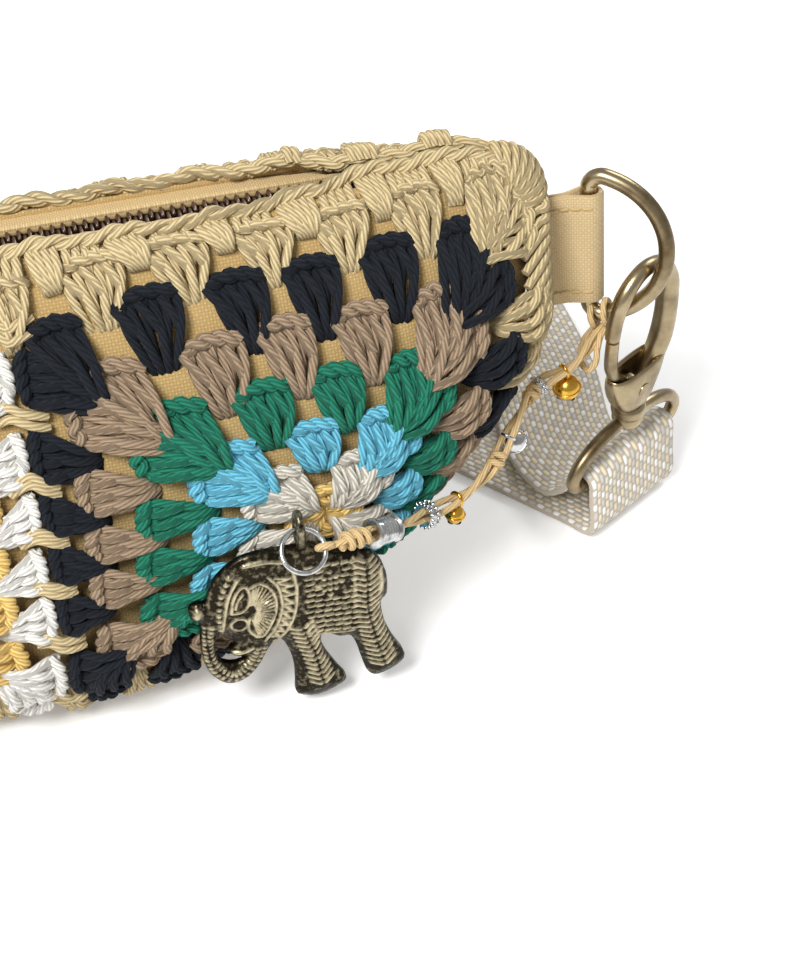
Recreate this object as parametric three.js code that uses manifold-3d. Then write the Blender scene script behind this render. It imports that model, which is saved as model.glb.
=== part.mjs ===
import * as THREE from 'three';
import Module from 'manifold-3d';
import { mergeVertices } from 'three/addons/utils/BufferGeometryUtils.js';

const wasm = await Module();
wasm.setup();

// Driving sizes of the pouch, in millimetres
const GAP = 0.3;
const HALF_LENGTH = 123;
const HEIGHT = 114;
const HALF_DEPTH = 34.3;
const END_HALF_DEPTH = 11;
const END_LIFT = 71;
const LIFT_POWER = 2.05;
const DEPTH_POWER = 3.07;
const WAIST = 0.41;
const LOWER_POWER = 2.5;
const UPPER_POWER = 1.8;
const LEAN = Math.tan(THREE.MathUtils.degToRad(10.8));
const SQUASH = 1.5;

// Layers of the wall, each counted inward from the outside
const CROCHET_THICK = 4.2;
const CANVAS_THICK = 1.2;
const LINING_THICK = 0.8;
const LIP_HALF_GAP = 6;
const LIP_THICK = 3;
const BORDER_DEPTH = 16;
const BORDER_Z = HEIGHT - BORDER_DEPTH;
const EDGE_HALF = 3.9;

// Zip, set below the lips with its tapes tucked under them
const ZIP_HALF = 78;
const ZIP_DROP = 5.3;
const ZIP_Z = HEIGHT - ZIP_DROP;
const TAPE_TUCK = 2.3;
const TOOTH_HALF_SLOT = 0.8;
const CHAIN_HALF = 2.45;
const SLIDER_X = -66;

// Tab, ring, hook and webbing
const WEB_WIDTH = 32;
const WEB_THICK = 1.8;
const TAB_WIDTH = 27;
const TAB_THICK = 2.6;
const TAB_REACH = 13.2;
const BAR_X = HALF_LENGTH + TAB_REACH;
const BAR_Z = 84.5;
const RING_WIRE = 1.9;
const RING_OUT = 18.6;
const RING_HALF = 17.9;
const RING_TURN = THREE.MathUtils.degToRad(-35);
const LINK_ANGLE = THREE.MathUtils.degToRad(-50);
const HOOK_WIRE = 2.0;
const HOOK_TURN = THREE.MathUtils.degToRad(30);
const BAIL_WIRE = 1.75;
const BAIL_BAR = -15.5;
const PIVOT_H = 9.6;

// Charm
const CORD_R = 0.8;
const CHARM_Y = -30;
const CHARM_RISE = 1.2;
const CHARM_THICK = 4.2;

const V = (x, y, z) => new THREE.Vector3(x, y, z);

// Closed triangles to a solid, with the outside kept outside
function solidFrom(verts, tris) {
  const a = V(0, 0, 0);
  const b = V(0, 0, 0);
  const c = V(0, 0, 0);
  let volume = 0;
  for (let i = 0; i < tris.length; i += 3) {
    a.fromArray(verts, tris[i] * 3);
    b.fromArray(verts, tris[i + 1] * 3);
    c.fromArray(verts, tris[i + 2] * 3);
    volume += a.dot(b.cross(c));
  }
  const order = volume < 0 ? [0, 2, 1] : [0, 1, 2];
  const out = new Uint32Array(tris.length);
  for (let i = 0; i < tris.length; i += 3) {
    for (let k = 0; k < 3; k++) out[i + k] = tris[i + order[k]];
  }
  return new wasm.Manifold(new wasm.Mesh({
    numProp: 3, vertProperties: new Float32Array(verts), triVerts: out,
  }));
}

function solid(geometry) {
  let g = geometry.clone();
  g.deleteAttribute('normal');
  g.deleteAttribute('uv');
  g = mergeVertices(g, 1e-4);
  return solidFrom(Array.from(g.attributes.position.array), Array.from(g.index.array));
}

// Rings of points joined into one closed skin; a loop has no end caps
function loft(rings, loop = false) {
  const n = rings[0].length;
  const verts = [];
  const tris = [];
  for (const ring of rings) for (const p of ring) verts.push(p.x, p.y, p.z);
  const last = loop ? rings.length : rings.length - 1;
  for (let i = 0; i < last; i++) {
    const j = (i + 1) % rings.length;
    for (let k = 0; k < n; k++) {
      const l = (k + 1) % n;
      tris.push(i * n + k, i * n + l, j * n + l, i * n + k, j * n + l, j * n + k);
    }
  }
  if (!loop) {
    for (const [i, flip] of [[0, false], [rings.length - 1, true]]) {
      const mid = rings[i].reduce((s, p) => s.add(p), V(0, 0, 0)).divideScalar(n);
      const m = verts.length / 3;
      verts.push(mid.x, mid.y, mid.z);
      for (let k = 0; k < n; k++) {
        const l = (k + 1) % n;
        if (flip) tris.push(m, i * n + k, i * n + l);
        else tris.push(m, i * n + l, i * n + k);
      }
    }
  }
  return solidFrom(verts, tris);
}

const box = (x0, x1, y0, y1, z0, z1) =>
  wasm.Manifold.cube([x1 - x0, y1 - y0, z1 - z0]).translate([x0, y0, z0]);

// Move a solid from its own axes into the part's frame
function place(s, origin, ex, ey, ez) {
  return s.transform([
    ex.x, ex.y, ex.z, 0, ey.x, ey.y, ey.z, 0, ez.x, ez.y, ez.z, 0,
    origin.x, origin.y, origin.z, 1,
  ]);
}

// A round wire along a path that lies in one plane
function wire(points, normal, radius, sides, loop) {
  const n = points.length;
  const rings = points.map((p, i) => {
    const before = points[loop ? (i + n - 1) % n : Math.max(0, i - 1)];
    const after = points[loop ? (i + 1) % n : Math.min(n - 1, i + 1)];
    const side = normal.clone().cross(after.clone().sub(before)).normalize();
    return Array.from({ length: sides }, (_, k) => {
      const t = (k / sides) * Math.PI * 2;
      return p.clone().addScaledVector(side, Math.cos(t) * radius)
        .addScaledVector(normal, Math.sin(t) * radius);
    });
  });
  return loft(rings, loop);
}

// A round cord along any open path, its section carried without twist
function cord(points, radius, sides) {
  const n = points.length;
  const side = V(0, 1, 0);
  const rings = points.map((p, i) => {
    const t = points[Math.min(n - 1, i + 1)].clone().sub(points[Math.max(0, i - 1)]).normalize();
    side.addScaledVector(t, -side.dot(t)).normalize();
    const up = t.clone().cross(side);
    return Array.from({ length: sides }, (_, k) => {
      const a = (k / sides) * Math.PI * 2;
      return p.clone().addScaledVector(side, Math.cos(a) * radius)
        .addScaledVector(up, Math.sin(a) * radius);
    });
  });
  return loft(rings);
}

// Flat webbing along a path, with its width direction given at every point
function band(points, widths, width, thick) {
  const n = points.length;
  const rings = points.map((p, i) => {
    const t = points[Math.min(n - 1, i + 1)].clone().sub(points[Math.max(0, i - 1)]);
    const w = widths[i].clone().normalize();
    const up = t.cross(w).normalize();
    const at = (a, b) => p.clone().addScaledVector(w, a * width / 2).addScaledVector(up, b * thick / 2);
    return [at(-1, -1), at(1, -1), at(1, 1), at(-1, 1)];
  });
  return loft(rings);
}

function extrude(points, z0, z1, holes = []) {
  const shape = new THREE.Shape(points.map(([x, y]) => new THREE.Vector2(x, y)));
  for (const hole of holes) {
    shape.holes.push(new THREE.Path(hole.map(([x, y]) => new THREE.Vector2(x, y))));
  }
  const g = new THREE.ExtrudeGeometry(shape, { depth: z1 - z0, bevelEnabled: false });
  g.translate(0, 0, z0);
  return solid(g);
}

const drum = (r, z0, z1, sides = 20) =>
  wasm.Manifold.cylinder(z1 - z0, r, r, sides).translate([0, 0, z0]);
const ball = (r, sides = 16) => wasm.Manifold.sphere(r, sides);

const group = new THREE.Group();
group.name = 'crossbody_bag';
const COLOURS = {
  beige_yarn: 0xb79b66, navy_yarn: 0x1d222c, white_yarn: 0xe6e2d8, canvas: 0xc2a571,
  lining: 0xcbb68c, copper: 0x6b5140, brass: 0x8a7650, bronze: 0x6f6141,
  silver: 0xb4b4b2, gold: 0xc79a2e, cord: 0xd2b078, webbing: 0xbcb4a2,
};

function add(name, slot, s) {
  const mesh = s.getMesh();
  const g = new THREE.BufferGeometry();
  g.setAttribute('position', new THREE.Float32BufferAttribute(mesh.vertProperties, 3));
  g.setIndex(Array.from(mesh.triVerts));
  g.computeVertexNormals();
  const metal = ['copper', 'brass', 'bronze', 'silver', 'gold'].includes(slot);
  const material = new THREE.MeshStandardMaterial({
    color: COLOURS[slot], metalness: metal ? 0.9 : 0, roughness: metal ? 0.4 : 0.9,
  });
  const node = new THREE.Mesh(g, material);
  node.name = name;
  group.add(node);
}

// The stuffed half-moon pouch, inset from its outside; a chimney opens the top
function pouch(inset, chimney) {
  const stations = [0, 0.16, 0.32, 0.48, 0.63, 0.77, 0.88, 0.96, 1];
  const all = [...stations.slice(1).reverse().map((s) => -s), ...stations];
  const steps = 5;
  const lip = LIP_HALF_GAP + (inset < CROCHET_THICK
    ? LIP_THICK * (1 - inset / CROCHET_THICK) : CROCHET_THICK - inset);
  return loft(all.map((s) => {
    const a = Math.abs(s);
    const x = (HALF_LENGTH - inset) * s;
    const low = inset - SQUASH + (END_LIFT + SQUASH) * a ** LIFT_POWER;
    const swell = Math.sqrt(Math.max(0, 1 - a ** DEPTH_POWER));
    const depth = END_HALF_DEPTH - inset + (HALF_DEPTH - END_HALF_DEPTH) * swell;
    const mid = low + WAIST * (HEIGHT - low);
    const side = [];
    for (let i = 0; i <= steps; i++) {
      const t = (i / steps) * Math.PI / 2;
      side.push([
        depth * Math.sin(t) ** (2 / LOWER_POWER),
        mid - (mid - low) * Math.max(0, Math.cos(t)) ** (2 / LOWER_POWER),
      ]);
    }
    for (let i = 1; i <= steps; i++) {
      const t = i / steps;
      side.push([lip + (depth - lip) * (1 - t ** UPPER_POWER), mid + (HEIGHT - mid) * t]);
    }
    if (chimney) side.push([lip, HEIGHT + 8]);
    const front = side.map(([y, z]) => V(x, -y, z));
    const back = side.slice(1).reverse().map(([y, z]) => V(x, y, z));
    return [...front, ...back];
  }));
}

const leanBack = (s) => s.transform([1, 0, 0, 0, 0, 1, 0, 0, 0, LEAN, 1, 0, 0, 0, 0, 1]);
const BIG = 200;
const canvasIn = CROCHET_THICK + GAP;
const liningIn = canvasIn + CANVAS_THICK + GAP;

// Crochet skin, cut into the panels that are worked and joined separately
const crochet = pouch(0, false).subtract(pouch(CROCHET_THICK, true))
  .intersect(box(-BIG, BIG, -BIG, BIG, 0, BIG));
const half = GAP / 2;
const edge = EDGE_HALF + GAP;
const panelTop = BORDER_Z - GAP;
for (const [name, x0, x1] of [['right', half, BIG], ['left', -BIG, -half]]) {
  const slot = name === 'right' ? 'navy_yarn' : 'white_yarn';
  const front = crochet.intersect(box(x0, x1, -BIG, -edge, 0, panelTop));
  const back = crochet.intersect(box(x0, x1, edge, BIG, 0, panelTop));
  add(`crochet_front_${name}`, slot, leanBack(front));
  add(`crochet_back_${name}`, slot, leanBack(back));
}
add('joining_edge', 'beige_yarn',
  leanBack(crochet.intersect(box(-BIG, BIG, -EDGE_HALF, EDGE_HALF, 0, panelTop))));
add('top_border_front', 'beige_yarn',
  leanBack(crochet.intersect(box(-BIG, BIG, -BIG, -half, BORDER_Z, BIG))));
add('top_border_back', 'beige_yarn',
  leanBack(crochet.intersect(box(-BIG, BIG, half, BIG, BORDER_Z, BIG))));

// Canvas pouch and its lining, both open at the top under the zip
const tapeLow = ZIP_Z - 0.5;
add('canvas_pouch', 'canvas', leanBack(pouch(canvasIn, false)
  .subtract(pouch(canvasIn + CANVAS_THICK, true))
  .intersect(box(-BIG, BIG, -BIG, BIG, 0, tapeLow - GAP))));
add('lining', 'lining', leanBack(pouch(liningIn, false)
  .subtract(pouch(liningIn + LINING_THICK, true))
  .intersect(box(-BIG, BIG, -BIG, BIG, 0, tapeLow - 4.2))));

// Zip: tapes, tooth rows with a slot for the slider's post, stops, slider and pull
const zipY = LEAN * ZIP_Z;
const zip = (s) => s.translate([0, zipY, 0]);
const tapeOut = LIP_HALF_GAP + TAPE_TUCK;
const tapeIn = CHAIN_HALF + GAP;
add('zip_tape_front', 'canvas',
  zip(box(-ZIP_HALF, ZIP_HALF, -tapeOut, -tapeIn, tapeLow, tapeLow + 1)));
add('zip_tape_back', 'canvas',
  zip(box(-ZIP_HALF, ZIP_HALF, tapeIn, tapeOut, tapeLow, tapeLow + 1)));
const rowEnd = ZIP_HALF - 2;
const rowLow = ZIP_Z - 1.1;
const rowTop = ZIP_Z + 1.1;
add('zip_teeth_front', 'copper',
  zip(box(-rowEnd, rowEnd, -CHAIN_HALF, -TOOTH_HALF_SLOT, rowLow, rowTop)));
add('zip_teeth_back', 'copper',
  zip(box(-rowEnd, rowEnd, TOOTH_HALF_SLOT, CHAIN_HALF, rowLow, rowTop)));
const stopOut = rowEnd + GAP + 2.6;
add('zip_stop_right', 'copper',
  zip(box(rowEnd + GAP, stopOut, -CHAIN_HALF, CHAIN_HALF, rowLow, rowTop)));
add('zip_stop_left_front', 'copper',
  zip(box(-stopOut, -rowEnd - GAP, -CHAIN_HALF, -TOOTH_HALF_SLOT, rowLow, rowTop)));
add('zip_stop_left_back', 'copper',
  zip(box(-stopOut, -rowEnd - GAP, TOOTH_HALF_SLOT, CHAIN_HALF, rowLow, rowTop)));

const plateTop = rowTop + GAP;
const pullZ = plateTop + 2.05;
const sliderBody = box(-4.5, 4.5, -3.6, 3.6, plateTop, plateTop + 1)
  .add(box(-4.5, 4.5, -3.6, 3.6, rowLow - GAP - 1.1, rowLow - GAP))
  .add(box(-4.4, -1.9, -0.5, 0.5, rowLow - GAP - 0.1, plateTop + 0.1))
  .add(box(-1.8, 1.8, -1.2, 1.2, plateTop + 0.9, pullZ + 1.75)
    .subtract(box(-0.9, 0.9, -2, 2, pullZ - 0.9, pullZ + 0.9)));
add('zip_slider', 'copper', zip(sliderBody.translate([SLIDER_X, 0, 0])));
const pullBody = box(-0.55, 0.55, -2.3, 2.3, -0.55, 0.55)
  .add(box(-0.55, 6, 1.6, 2.5, -0.55, 0.55))
  .add(box(-0.55, 6, -2.5, -1.6, -0.55, 0.55))
  .add(box(5.5, 23, -2.5, 2.5, -0.55, 0.55));
add('zip_pull', 'copper', zip(pullBody.translate([SLIDER_X, 0, pullZ])));

// One end of the bag: tab, D-ring, swivel hook and the webbing through its bail
const c = Math.cos(Math.atan(LEAN));
const s = Math.sin(Math.atan(LEAN));
const barCentre = V(BAR_X, LEAN * BAR_Z, BAR_Z);
const barAxis = V(0, s, c);
const tabNormal = V(0, c, -s);
const turn = (v) => v.clone().applyAxisAngle(barAxis, RING_TURN);
const ringX = turn(V(1, 0, 0));
const ringN = turn(tabNormal);
const ringPoint = (a) => barCentre.clone()
  .addScaledVector(ringX, RING_OUT * Math.cos(a)).addScaledVector(barAxis, RING_HALF * Math.sin(a));

const eyeIn = RING_WIRE + 0.4;
const eyeOut = eyeIn + TAB_THICK / 2;
const tabRoot = HALF_LENGTH + GAP - BAR_X;
const tab = box(tabRoot, 0, -TAB_THICK / 2, TAB_THICK / 2, -TAB_WIDTH / 2, TAB_WIDTH / 2)
  .add(drum(eyeOut, -TAB_WIDTH / 2, TAB_WIDTH / 2, 20))
  .subtract(drum(eyeIn, -TAB_WIDTH, TAB_WIDTH, 20));
const tabRight = place(tab, barCentre, V(1, 0, 0), tabNormal, barAxis);

const corner = [[0, 14.6], [0.35, 15.9], [1.4, 17.05]];
const ringPath = [];
for (const [x, z] of corner) ringPath.push([x, z]);
for (let i = 0; i <= 14; i++) {
  const a = THREE.MathUtils.degToRad(80 - (160 * i) / 14);
  ringPath.push([RING_OUT * Math.cos(a), RING_HALF * Math.sin(a)]);
}
for (const [x, z] of corner.slice().reverse()) ringPath.push([x, -z]);
ringPath.push([0, 0]);
const ringRight = wire(ringPath.map(([x, z]) => barCentre.clone()
  .addScaledVector(ringX, x).addScaledVector(barAxis, z)), ringN, RING_WIRE, 8, true);

// The hook's own axes: A up its length, W across it, N out of its face
const A = V(-0.015, -0.087, 0.996).normalize();
const W = V(Math.cos(HOOK_TURN), Math.sin(HOOK_TURN), 0);
W.addScaledVector(A, -W.dot(A)).normalize();
const N = W.clone().cross(A);
const LINK_W = -3;
const LINK_H = 39;
const LINK_N = 1;
const link = ringPoint(LINK_ANGLE);
const neck = link.clone().addScaledVector(W, -LINK_W).addScaledVector(A, -LINK_H)
  .addScaledVector(N, -LINK_N);
const inHook = (w, h, n = 0) => neck.clone()
  .addScaledVector(W, w).addScaledVector(A, h).addScaledVector(N, n);
const onHook = (m) => place(m, neck, W, A, N);
const alongHook = (m) => place(m, neck, W, N.clone().negate(), A);

const archPath = [[4, 10], [7.6, 14.6], [9.7, 20], [10.4, 27]];
for (let i = 0; i <= 12; i++) {
  const a = (Math.PI * i) / 12;
  archPath.push([10.1 * Math.cos(a), 33 + 14.2 * Math.sin(a)]);
}
archPath.push([-10.1, 31.4]);
const arch = wire(archPath.map(([w, h]) => V(w, h, 0)), V(0, 0, 1), HOOK_WIRE, 8, false);
const bodyShape = [[-4.2, 2.5], [4.2, 2.5], [7.5, 7], [10.5, 13], [12, 20], [12.2, 26], [8.2, 24],
  [6.5, 18.5], [2.5, 15.5], [-3, 15.2], [-6.5, 14.5], [-8.6, 16.5], [-9, 13], [-6.5, 7]];
const slotShape = [[3, 6.9], [3, 12.8], [1, 17.5], [-13, 19.5], [-13, 11.5], [-5.5, 6.9]];
const collar = drum(4.4, -0.5, 3.5).rotate([-90, 0, 0]);
const upright = (m) => m.rotate([-90, 0, 0]);
const hookBody = extrude(bodyShape, -3.3, 3.3).add(arch).add(collar)
  .subtract(extrude(slotShape, -1.6, 1.6))
  .subtract(drum(1.25, -5, 5, 16).translate([0, PIVOT_H, 0]))
  .subtract(upright(drum(1.65, -2, 3.3, 16)))
  .subtract(upright(drum(2.5, 3.2, 6, 16)));
const gateShape = [[-2.2, 8.6], [0, 7.3], [2.1, 8.7], [2.2, 10.8], [0.6, 12.2], [-5.2, 16.2],
  [-7.7, 20.5], [-8.3, 30.7], [-11.4, 29.4], [-11.1, 20], [-8, 14.2], [-3, 10.8]];
const gate = extrude(gateShape, -1.3, 1.3)
  .subtract(drum(1.26, -5, 5, 16).translate([0, PIVOT_H, 0]));
const rivet = drum(1.2, -3.7, 3.7, 16).add(drum(1.9, 3.35, 3.9, 16)).add(drum(1.9, -3.9, -3.35, 16))
  .translate([0, PIVOT_H, 0]);
const bailHalf = [[0, -2.9], [6, -3.3], [12, -4.7], [16.8, -7.4], [19.4, -11], [18.9, -14.2],
  [16.6, BAIL_BAR], [8, BAIL_BAR]];
const bailPath = [...bailHalf, [0, BAIL_BAR],
  ...bailHalf.slice(1).reverse().map(([w, h]) => [-w, h])];
const bail = wire(bailPath.map(([w, h]) => V(w, h, 0)), V(0, 0, 1), BAIL_WIRE, 8, true)
  .add(upright(drum(3.6, -4.4, -0.9, 16)))
  .add(upright(drum(1.6, -1, 3.6, 16)))
  .add(upright(drum(2.3, 3.5, 5.6, 16)));

// Webbing over the bail's bar; rear leg on top, front leg folding back beneath it
const wrapR = BAIL_WIRE + 0.45 + WEB_THICK / 2;
const wrapPts = [];
for (let i = 0; i <= 8; i++) {
  const a = (Math.PI * i) / 8;
  wrapPts.push(inHook(0, BAIL_BAR + wrapR * Math.sin(a), wrapR * Math.cos(a)));
}
const wrap = band(wrapPts, wrapPts.map(() => W), WEB_WIDTH, WEB_THICK);
const bar = inHook(0, BAIL_BAR);
const flatW = V(W.x, W.y, 0).normalize();
const flatN = V(flatW.y, -flatW.x, 0);
const from = (f, z, w = 0) => V(bar.x + flatN.x * f + flatW.x * w, bar.y + flatN.y * f + flatW.y * w, z);
const legDir = V(-0.625, 0.781, 0);
const legW = V(0.781, 0.625, 0);
const legFrom = from(-4, 1.3);
const legAt = (d, z) => V(legFrom.x + legDir.x * d, legFrom.y + legDir.y * d, z);
// The adjuster lies on the floor leg, and the folded strap lies clear behind it
const GLIDE_AT = 72;
const GLIDE_HALF_LONG = 11;
const GLIDE_HALF_WIDE = 20;
const STACK_CLEAR = 1.3;
const STACK_Y = legAt(GLIDE_AT, 0).y + GLIDE_HALF_LONG * legDir.y + GLIDE_HALF_WIDE * legW.y
  + STACK_CLEAR + WEB_WIDTH / 2;
const legEnd = (STACK_Y - 13.4 - legFrom.y) / legDir.y;
const behind = (x, y, z) => V(bar.x + x, bar.y + y, z);
const rearPts = [inHook(0, BAIL_BAR - 1.2, -wrapR), from(-5, bar.z - 5), from(-8, bar.z - 9),
  from(-13, 6.2), behind(-8, 24, 4.7), behind(-5, 46, 4.3), behind(-3, 70, 1.5),
  V(bar.x - 3, STACK_Y + 1.9, 1.3)];
const rearW = [0, 0, 0, 0.1, 0.5, 0.8, 1, 1].map((k) => flatW.clone().lerp(V(1, 0, 0), k));
const rear = band(rearPts, rearW, WEB_WIDTH, WEB_THICK);
const floorPts = [inHook(0, BAIL_BAR - 1.2, wrapR), from(3.6, bar.z - 6), from(4.4, 7), from(3.9, 3.6),
  from(2, 1.7), legAt(2, 1.3), legAt(16, 1.3)];
const floorW = [flatW, flatW, flatW, flatW, flatW, flatW.clone().lerp(legW, 0.45), legW];
for (const [d, z] of [[-10, 1.3], [-8.2, 1.3], [-2.9, 5.7], [2.9, 5.7], [8.2, 1.3], [10, 1.3]]) {
  floorPts.push(legAt(GLIDE_AT + d, z));
  floorW.push(legW);
}
floorPts.push(legAt(legEnd, 1.3));
floorW.push(legW);
const floorLeg = band(floorPts, floorW, WEB_WIDTH, WEB_THICK);
const plainLegPts = [...floorPts.slice(0, 7), legAt(legEnd, 1.3)];
const plainLeg = band(plainLegPts, [...floorW.slice(0, 7), legW], WEB_WIDTH, WEB_THICK);
const glide = place(
  box(-GLIDE_HALF_LONG, GLIDE_HALF_LONG, -GLIDE_HALF_WIDE, GLIDE_HALF_WIDE, 2.5, 4.4)
    .subtract(box(1.6, 8.2, -17, 17, 0, 9)).subtract(box(-8.2, -1.6, -17, 17, 0, 9)),
  legAt(GLIDE_AT, 0), legDir, legW.clone().negate(), V(0, 0, 1));

for (const [side, flip] of [['right', false], ['left', true]]) {
  const put = (name, slot, m) => add(`${name}_${side}`, slot, flip ? m.mirror([1, 0, 0]) : m);
  put('tab', 'canvas', tabRight);
  put('d_ring', 'brass', ringRight);
  put('hook', 'brass', onHook(hookBody));
  put('hook_gate', 'brass', onHook(gate));
  put('gate_rivet', 'brass', onHook(rivet));
  put('swivel_bail', 'brass', onHook(bail));
  put('strap_wrap', 'webbing', wrap);
  put('strap_rear_leg', 'webbing', rear);
  put('strap_floor_leg', 'webbing', flip ? plainLeg : floorLeg);
}
add('strap_adjuster', 'brass', glide);

// The rest of the strap, folded flat behind the bag on top of the two rear legs
const STACK_X = BAR_X - 4.2;
const FOLD = 2.5;
const stackPts = [V(-STACK_X - 6, STACK_Y, 3.7 + FOLD * 2), V(STACK_X, STACK_Y, 3.7 + FOLD * 2)];
for (const t of [45, 0, -45]) {
  const a = THREE.MathUtils.degToRad(t);
  stackPts.push(V(STACK_X + Math.cos(a) * FOLD / 2, STACK_Y, 3.7 + FOLD * 1.5 + Math.sin(a) * FOLD / 2));
}
stackPts.push(V(STACK_X, STACK_Y, 3.7 + FOLD), V(-STACK_X, STACK_Y, 3.7 + FOLD));
for (const t of [45, 0, -45]) {
  const a = THREE.MathUtils.degToRad(t);
  stackPts.push(V(-STACK_X - Math.cos(a) * FOLD / 2, STACK_Y, 3.7 + FOLD * 0.5 + Math.sin(a) * FOLD / 2));
}
stackPts.push(V(-STACK_X, STACK_Y, 3.7), V(STACK_X + 6, STACK_Y, 3.7));
add('strap_back', 'webbing', band(stackPts, stackPts.map(() => V(0, 1, 0)), WEB_WIDTH, WEB_THICK));

// Charm cord from a hitch on the right ring to the jump ring, with its bells and beads
const HITCH = THREE.MathUtils.degToRad(-79);
const hitchAt = ringPoint(HITCH);
const hitchT = ringPoint(HITCH + 0.01).sub(hitchAt).normalize();
const hitchR = RING_WIRE + 0.25 + CORD_R;
const hitchDown = barAxis.clone().negate().addScaledVector(hitchT, barAxis.dot(hitchT)).normalize();
const hitchSide = hitchT.clone().cross(hitchDown);
const hitchPts = Array.from({ length: 14 }, (_, k) => {
  const a = (k / 14) * Math.PI * 2;
  return hitchAt.clone().addScaledVector(hitchDown, Math.cos(a) * hitchR)
    .addScaledVector(hitchSide, Math.sin(a) * hitchR);
});
// Jump ring through the elephant's eye, and the cord's end loop round the jump ring
const EYE_AT = [54.6, 55.8];
const EYE_HALF_HEIGHT = 4.2;
const EYE_HALF_WIDTH = 2.6;
const CHARM_SHIFT = -0.4;
const JUMP_R = 4.9;
const JUMP_WIRE = 0.6;
const jumpX = V(1, 0, 0);
const jumpUp = V(0, 0.8, 0.6);
const jumpN = jumpX.clone().cross(jumpUp);
const jumpAt = V(EYE_AT[0] + CHARM_SHIFT, CHARM_Y, EYE_AT[1] + CHARM_RISE)
  .addScaledVector(jumpUp, -JUMP_R);
const jumpPts = Array.from({ length: 20 }, (_, k) => {
  const a = (k / 20) * Math.PI * 2;
  return jumpAt.clone().addScaledVector(jumpX, Math.cos(a) * JUMP_R)
    .addScaledVector(jumpUp, Math.sin(a) * JUMP_R);
});
const jumpRing = wire(jumpPts, jumpN, JUMP_WIRE, 6, true);
const endR = JUMP_WIRE + 0.25 + CORD_R;
const endAt = jumpAt.clone().addScaledVector(jumpX, JUMP_R);
const endPts = Array.from({ length: 12 }, (_, k) => {
  const a = (k / 12) * Math.PI * 2;
  return endAt.clone().addScaledVector(jumpX, Math.cos(a) * endR)
    .addScaledVector(jumpN, Math.sin(a) * endR);
});
const cordStart = hitchAt.clone().addScaledVector(hitchDown, hitchR);
const cordEnd = endAt.clone().addScaledVector(jumpX, endR);
const cordPts = [cordStart, V(130, 4, 59.4), V(119.8, 1, 57.2), V(111, -7, 53), V(105.5, -11, 46.6),
  V(98.4, -15.5, 44.2), V(90.7, -19.5, 44.8), V(83.3, -23.5, 46.6), V(76.3, -28, 50),
  V(70, -31.5, 52.6), V(65, -33.2, 53.8), cordEnd];
const curve = new THREE.CatmullRomCurve3(cordPts, false, 'centripetal');
const charmCord = cord(curve.getPoints(40), CORD_R, 6)
  .add(wire(hitchPts, hitchT, CORD_R, 6, true)).add(wire(endPts, jumpUp, CORD_R, 6, true));
add('charm_cord', 'cord', charmCord);
add('charm_jump_ring', 'silver', jumpRing);

function onCord(t) {
  const p = curve.getPointAt(t);
  const d = curve.getTangentAt(t);
  const across = V(0, 0, -1);
  across.addScaledVector(d, -across.dot(d)).normalize();
  return [p, d, across, d.clone().cross(across)];
}
const eyeRing = (r, w) => {
  const pts = Array.from({ length: 12 }, (_, k) => {
    const a = (k / 12) * Math.PI * 2;
    return V(Math.cos(a) * r, Math.sin(a) * r, 0);
  });
  return wire(pts, V(0, 0, 1), w, 6, true);
};
function bell(name, slot, t, r) {
  const [p, d, across, other] = onCord(t);
  const eye = CORD_R + 0.35 + 0.45;
  const m = eyeRing(eye, 0.45).add(ball(r, 16).translate([eye + r + 0.1, 0, 0]));
  add(name, slot, place(m, p, across, other, d));
}
function bead(name, slot, t, r, length) {
  const [p, d, across, other] = onCord(t);
  const m = drum(r, -length / 2, length / 2, 20).subtract(drum(CORD_R + 0.3, -length, length, 12));
  add(name, slot, place(m, p, across, other, d));
}
bell('bell_gold_large', 'gold', 0.16, 3.3);
bead('bead_spacer', 'silver', 0.235, 2.6, 2);
bell('bell_silver', 'silver', 0.39, 2.9);
bell('bell_gold_small', 'gold', 0.6, 2.3);
bead('bead_dotted', 'silver', 0.7, 3.6, 3);
bead('bead_tube', 'silver', 0.86, 3.4, 7.5);

// Cast elephant with a raised trunk loop and an eye on its back for the jump ring
const OUTLINE = [[53, 51.2], [50.3, 51.3], [46.6, 51.4], [43, 51.2], [39.8, 50.2], [36.7, 47.6],
  [34.3, 44.5], [33, 40.7], [32.2, 39.1], [30.8, 39.4], [29.1, 38.6], [28.7, 36.8], [29.4, 34.6],
  [31, 33.5], [30.7, 25.6], [31.5, 18.6], [34, 13.6], [37.2, 11.4], [41.1, 12.6], [44.1, 16.5],
  [46.2, 21], [49.1, 23.1], [51.1, 18.2], [52.1, 12.4], [52.2, 7.4], [52.5, 3.1], [57.5, 1.3],
  [63, 3.4], [64.3, 5.6], [62.6, 9], [59.9, 14.8], [58.6, 19], [58.8, 21.8], [60.7, 21.4],
  [63.1, 19.8], [65.6, 19.3], [67.1, 15.4], [68.3, 9.9], [69.7, 5.6], [72.1, 3.9], [76.8, 5.8],
  [78.6, 9.2], [75.6, 16], [73.6, 22.4], [72.9, 28.6], [74.3, 30.9], [74.3, 36.7], [73.1, 41.3],
  [71, 44.7], [67.6, 46.4], [62, 47.2], [57.5, 51]];
const TRUNK_HOLE = [[34.9, 29.1], [33.7, 25.4], [34.4, 20.5], [36.9, 18.2], [39.9, 18.1],
  [40.9, 19.5], [38.1, 20.7], [37.1, 22.9], [38.6, 24.5], [36.5, 28.3]];
const flatElephant = extrude(OUTLINE, -CHARM_THICK / 2, CHARM_THICK / 2, [TRUNK_HOLE]);
const eyePts = Array.from({ length: 14 }, (_, k) => {
  const a = (k / 14) * Math.PI * 2;
  return V(EYE_AT[0], EYE_AT[1] + Math.cos(a) * EYE_HALF_HEIGHT, Math.sin(a) * EYE_HALF_WIDTH);
});
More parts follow.
